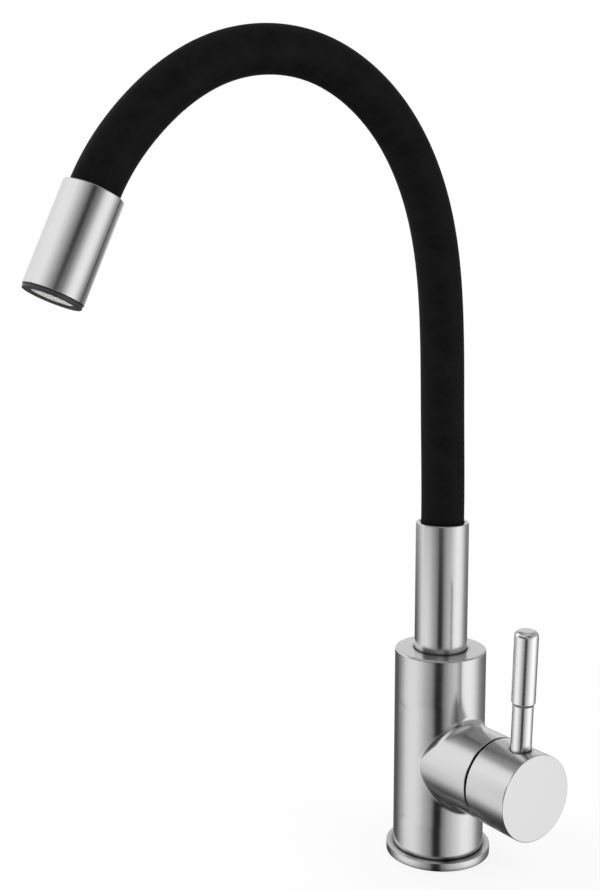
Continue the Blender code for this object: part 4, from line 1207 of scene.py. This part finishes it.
def soft_lamp(name, place, size, watts):
    light = bpy.data.lights.new(name, "AREA")
    light.shape = "DISK"
    light.size = size
    light.energy = watts
    lamp = bpy.data.objects.new(name, light)
    bpy.context.scene.collection.objects.link(lamp)
    lamp.location = place
    aim = LAMP_TARGET - Vector(place)
    lamp.rotation_mode = "QUATERNION"
    lamp.rotation_quaternion = aim.to_track_quat("-Z", "Y")
    lamp.visible_glossy = False
    lamp.visible_camera = False


def studio_camera():
    data = bpy.data.cameras.new("camera")
    data.lens = CAMERA_LENS
    data.shift_y = CAMERA_SHIFT
    data.clip_start = CAMERA_NEAR
    camera = bpy.data.objects.new("camera", data)
    bpy.context.scene.collection.objects.link(camera)
    camera.location = CAMERA_PLACE
    camera.rotation_mode = "QUATERNION"
    camera.rotation_quaternion = CAMERA_AIM.to_track_quat("-Z", "Y")
    bpy.context.scene.camera = camera


def turned_pieces():
    upright, sideways = Matrix(), along_x()
    body_steel = brushed_steel("brushed_steel_upright", upright)
    cap_steel = brushed_steel("brushed_steel_handle", sideways)
    # The lever's steel is a lighter copy of the same steel, tone 0.90 against 0.70: painted light that
    # brightens its reflections
    lever_steel_painted_lighter = brushed_steel("brushed_steel_lever_painted_lighter", lever_frame(), tone=0.90, roughness=0.22, grain=0.06)
    outlet_steel = brushed_steel("brushed_steel_outlet", outlet_frame())
    dark_plastic = speckled("dark_plastic_lip", (0.028,) * 3, (0.042,) * 3, roughness=0.42, scale=180.0)
    made = (
        (base_flange(), "root", body_steel, "brushed_steel", "base_flange"),
        (body_shell(), "root", body_steel, "brushed_steel", "body_shell"),
        (neck_tube(), "neck", body_steel, "brushed_steel", "neck_tube"),
        (handle_cap(), "handle", cap_steel, "brushed_steel", "handle_cap"),
        (lever_stem(), "handle", lever_steel_painted_lighter, "brushed_steel", "lever_stem"),
        (lever_grip(), "handle", lever_steel_painted_lighter, "brushed_steel", "lever_grip"),
        (outlet_shell(), "outlet", outlet_steel, "brushed_steel", "outlet_shell"),
        (aerator_housing(), "outlet", dark_plastic, "dark_plastic", "aerator_housing"),
    )
    for obj, body, material, slot, replaced in made:
        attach(obj, body)
        finish_piece(obj, material, slot, replaced)


# Plain finishes by slot: name, dark and light tone, roughness, cloud scale, metal and specular
PLAIN_FINISHES = {
    "brass": ("brass_machined", (0.60, 0.43, 0.20), (0.74, 0.56, 0.30), 0.32, 90.0, 1.0, 0.5),
    "black_rubber": ("black_rubber_seal", (0.014,) * 3, (0.024,) * 3, 0.62, 150.0, 0.0, 0.3),
    "white_plastic": ("white_plastic_moulded", (0.72, 0.72, 0.70), (0.82, 0.82, 0.80), 0.42, 80.0, 0.0, 0.5),
    "dark_plastic": ("dark_plastic_moulded", (0.03,) * 3, (0.05,) * 3, 0.48, 120.0, 0.0, 0.5),
    "ceramic": ("ceramic_ground", (0.82, 0.80, 0.75), (0.90, 0.88, 0.84), 0.22, 60.0, 0.0, 0.5),
    "wound_steel": ("steel_plain", (0.40,) * 3, (0.52,) * 3, 0.36, 200.0, 1.0, 0.5),
}


def node_materials():
    return {slot: speckled(*finish) for slot, finish in PLAIN_FINISHES.items()}


with open("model.json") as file:
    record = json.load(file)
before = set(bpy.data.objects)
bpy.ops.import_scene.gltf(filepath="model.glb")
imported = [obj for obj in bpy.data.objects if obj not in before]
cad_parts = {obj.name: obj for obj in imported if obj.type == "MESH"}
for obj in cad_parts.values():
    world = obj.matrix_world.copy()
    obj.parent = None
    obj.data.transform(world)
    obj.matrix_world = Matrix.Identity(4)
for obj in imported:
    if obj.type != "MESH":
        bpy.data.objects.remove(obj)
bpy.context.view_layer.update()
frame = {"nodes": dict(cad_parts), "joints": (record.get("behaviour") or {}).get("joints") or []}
bpy.context.scene.view_settings.view_transform = "Standard"
studio_camera()
turned_pieces()
tubing = speckled("tubing_clear", (0.66, 0.65, 0.61), (0.76, 0.75, 0.71), roughness=0.42, scale=90.0)
hose(((silicone(), "black_silicone"), (wound_steel(), "wound_steel"), (tubing, "tubing")))
dress_nodes(node_materials())
studio_floor()
studio_shell()
studio_world()
for lamp in LAMPS:
    soft_lamp(*lamp)
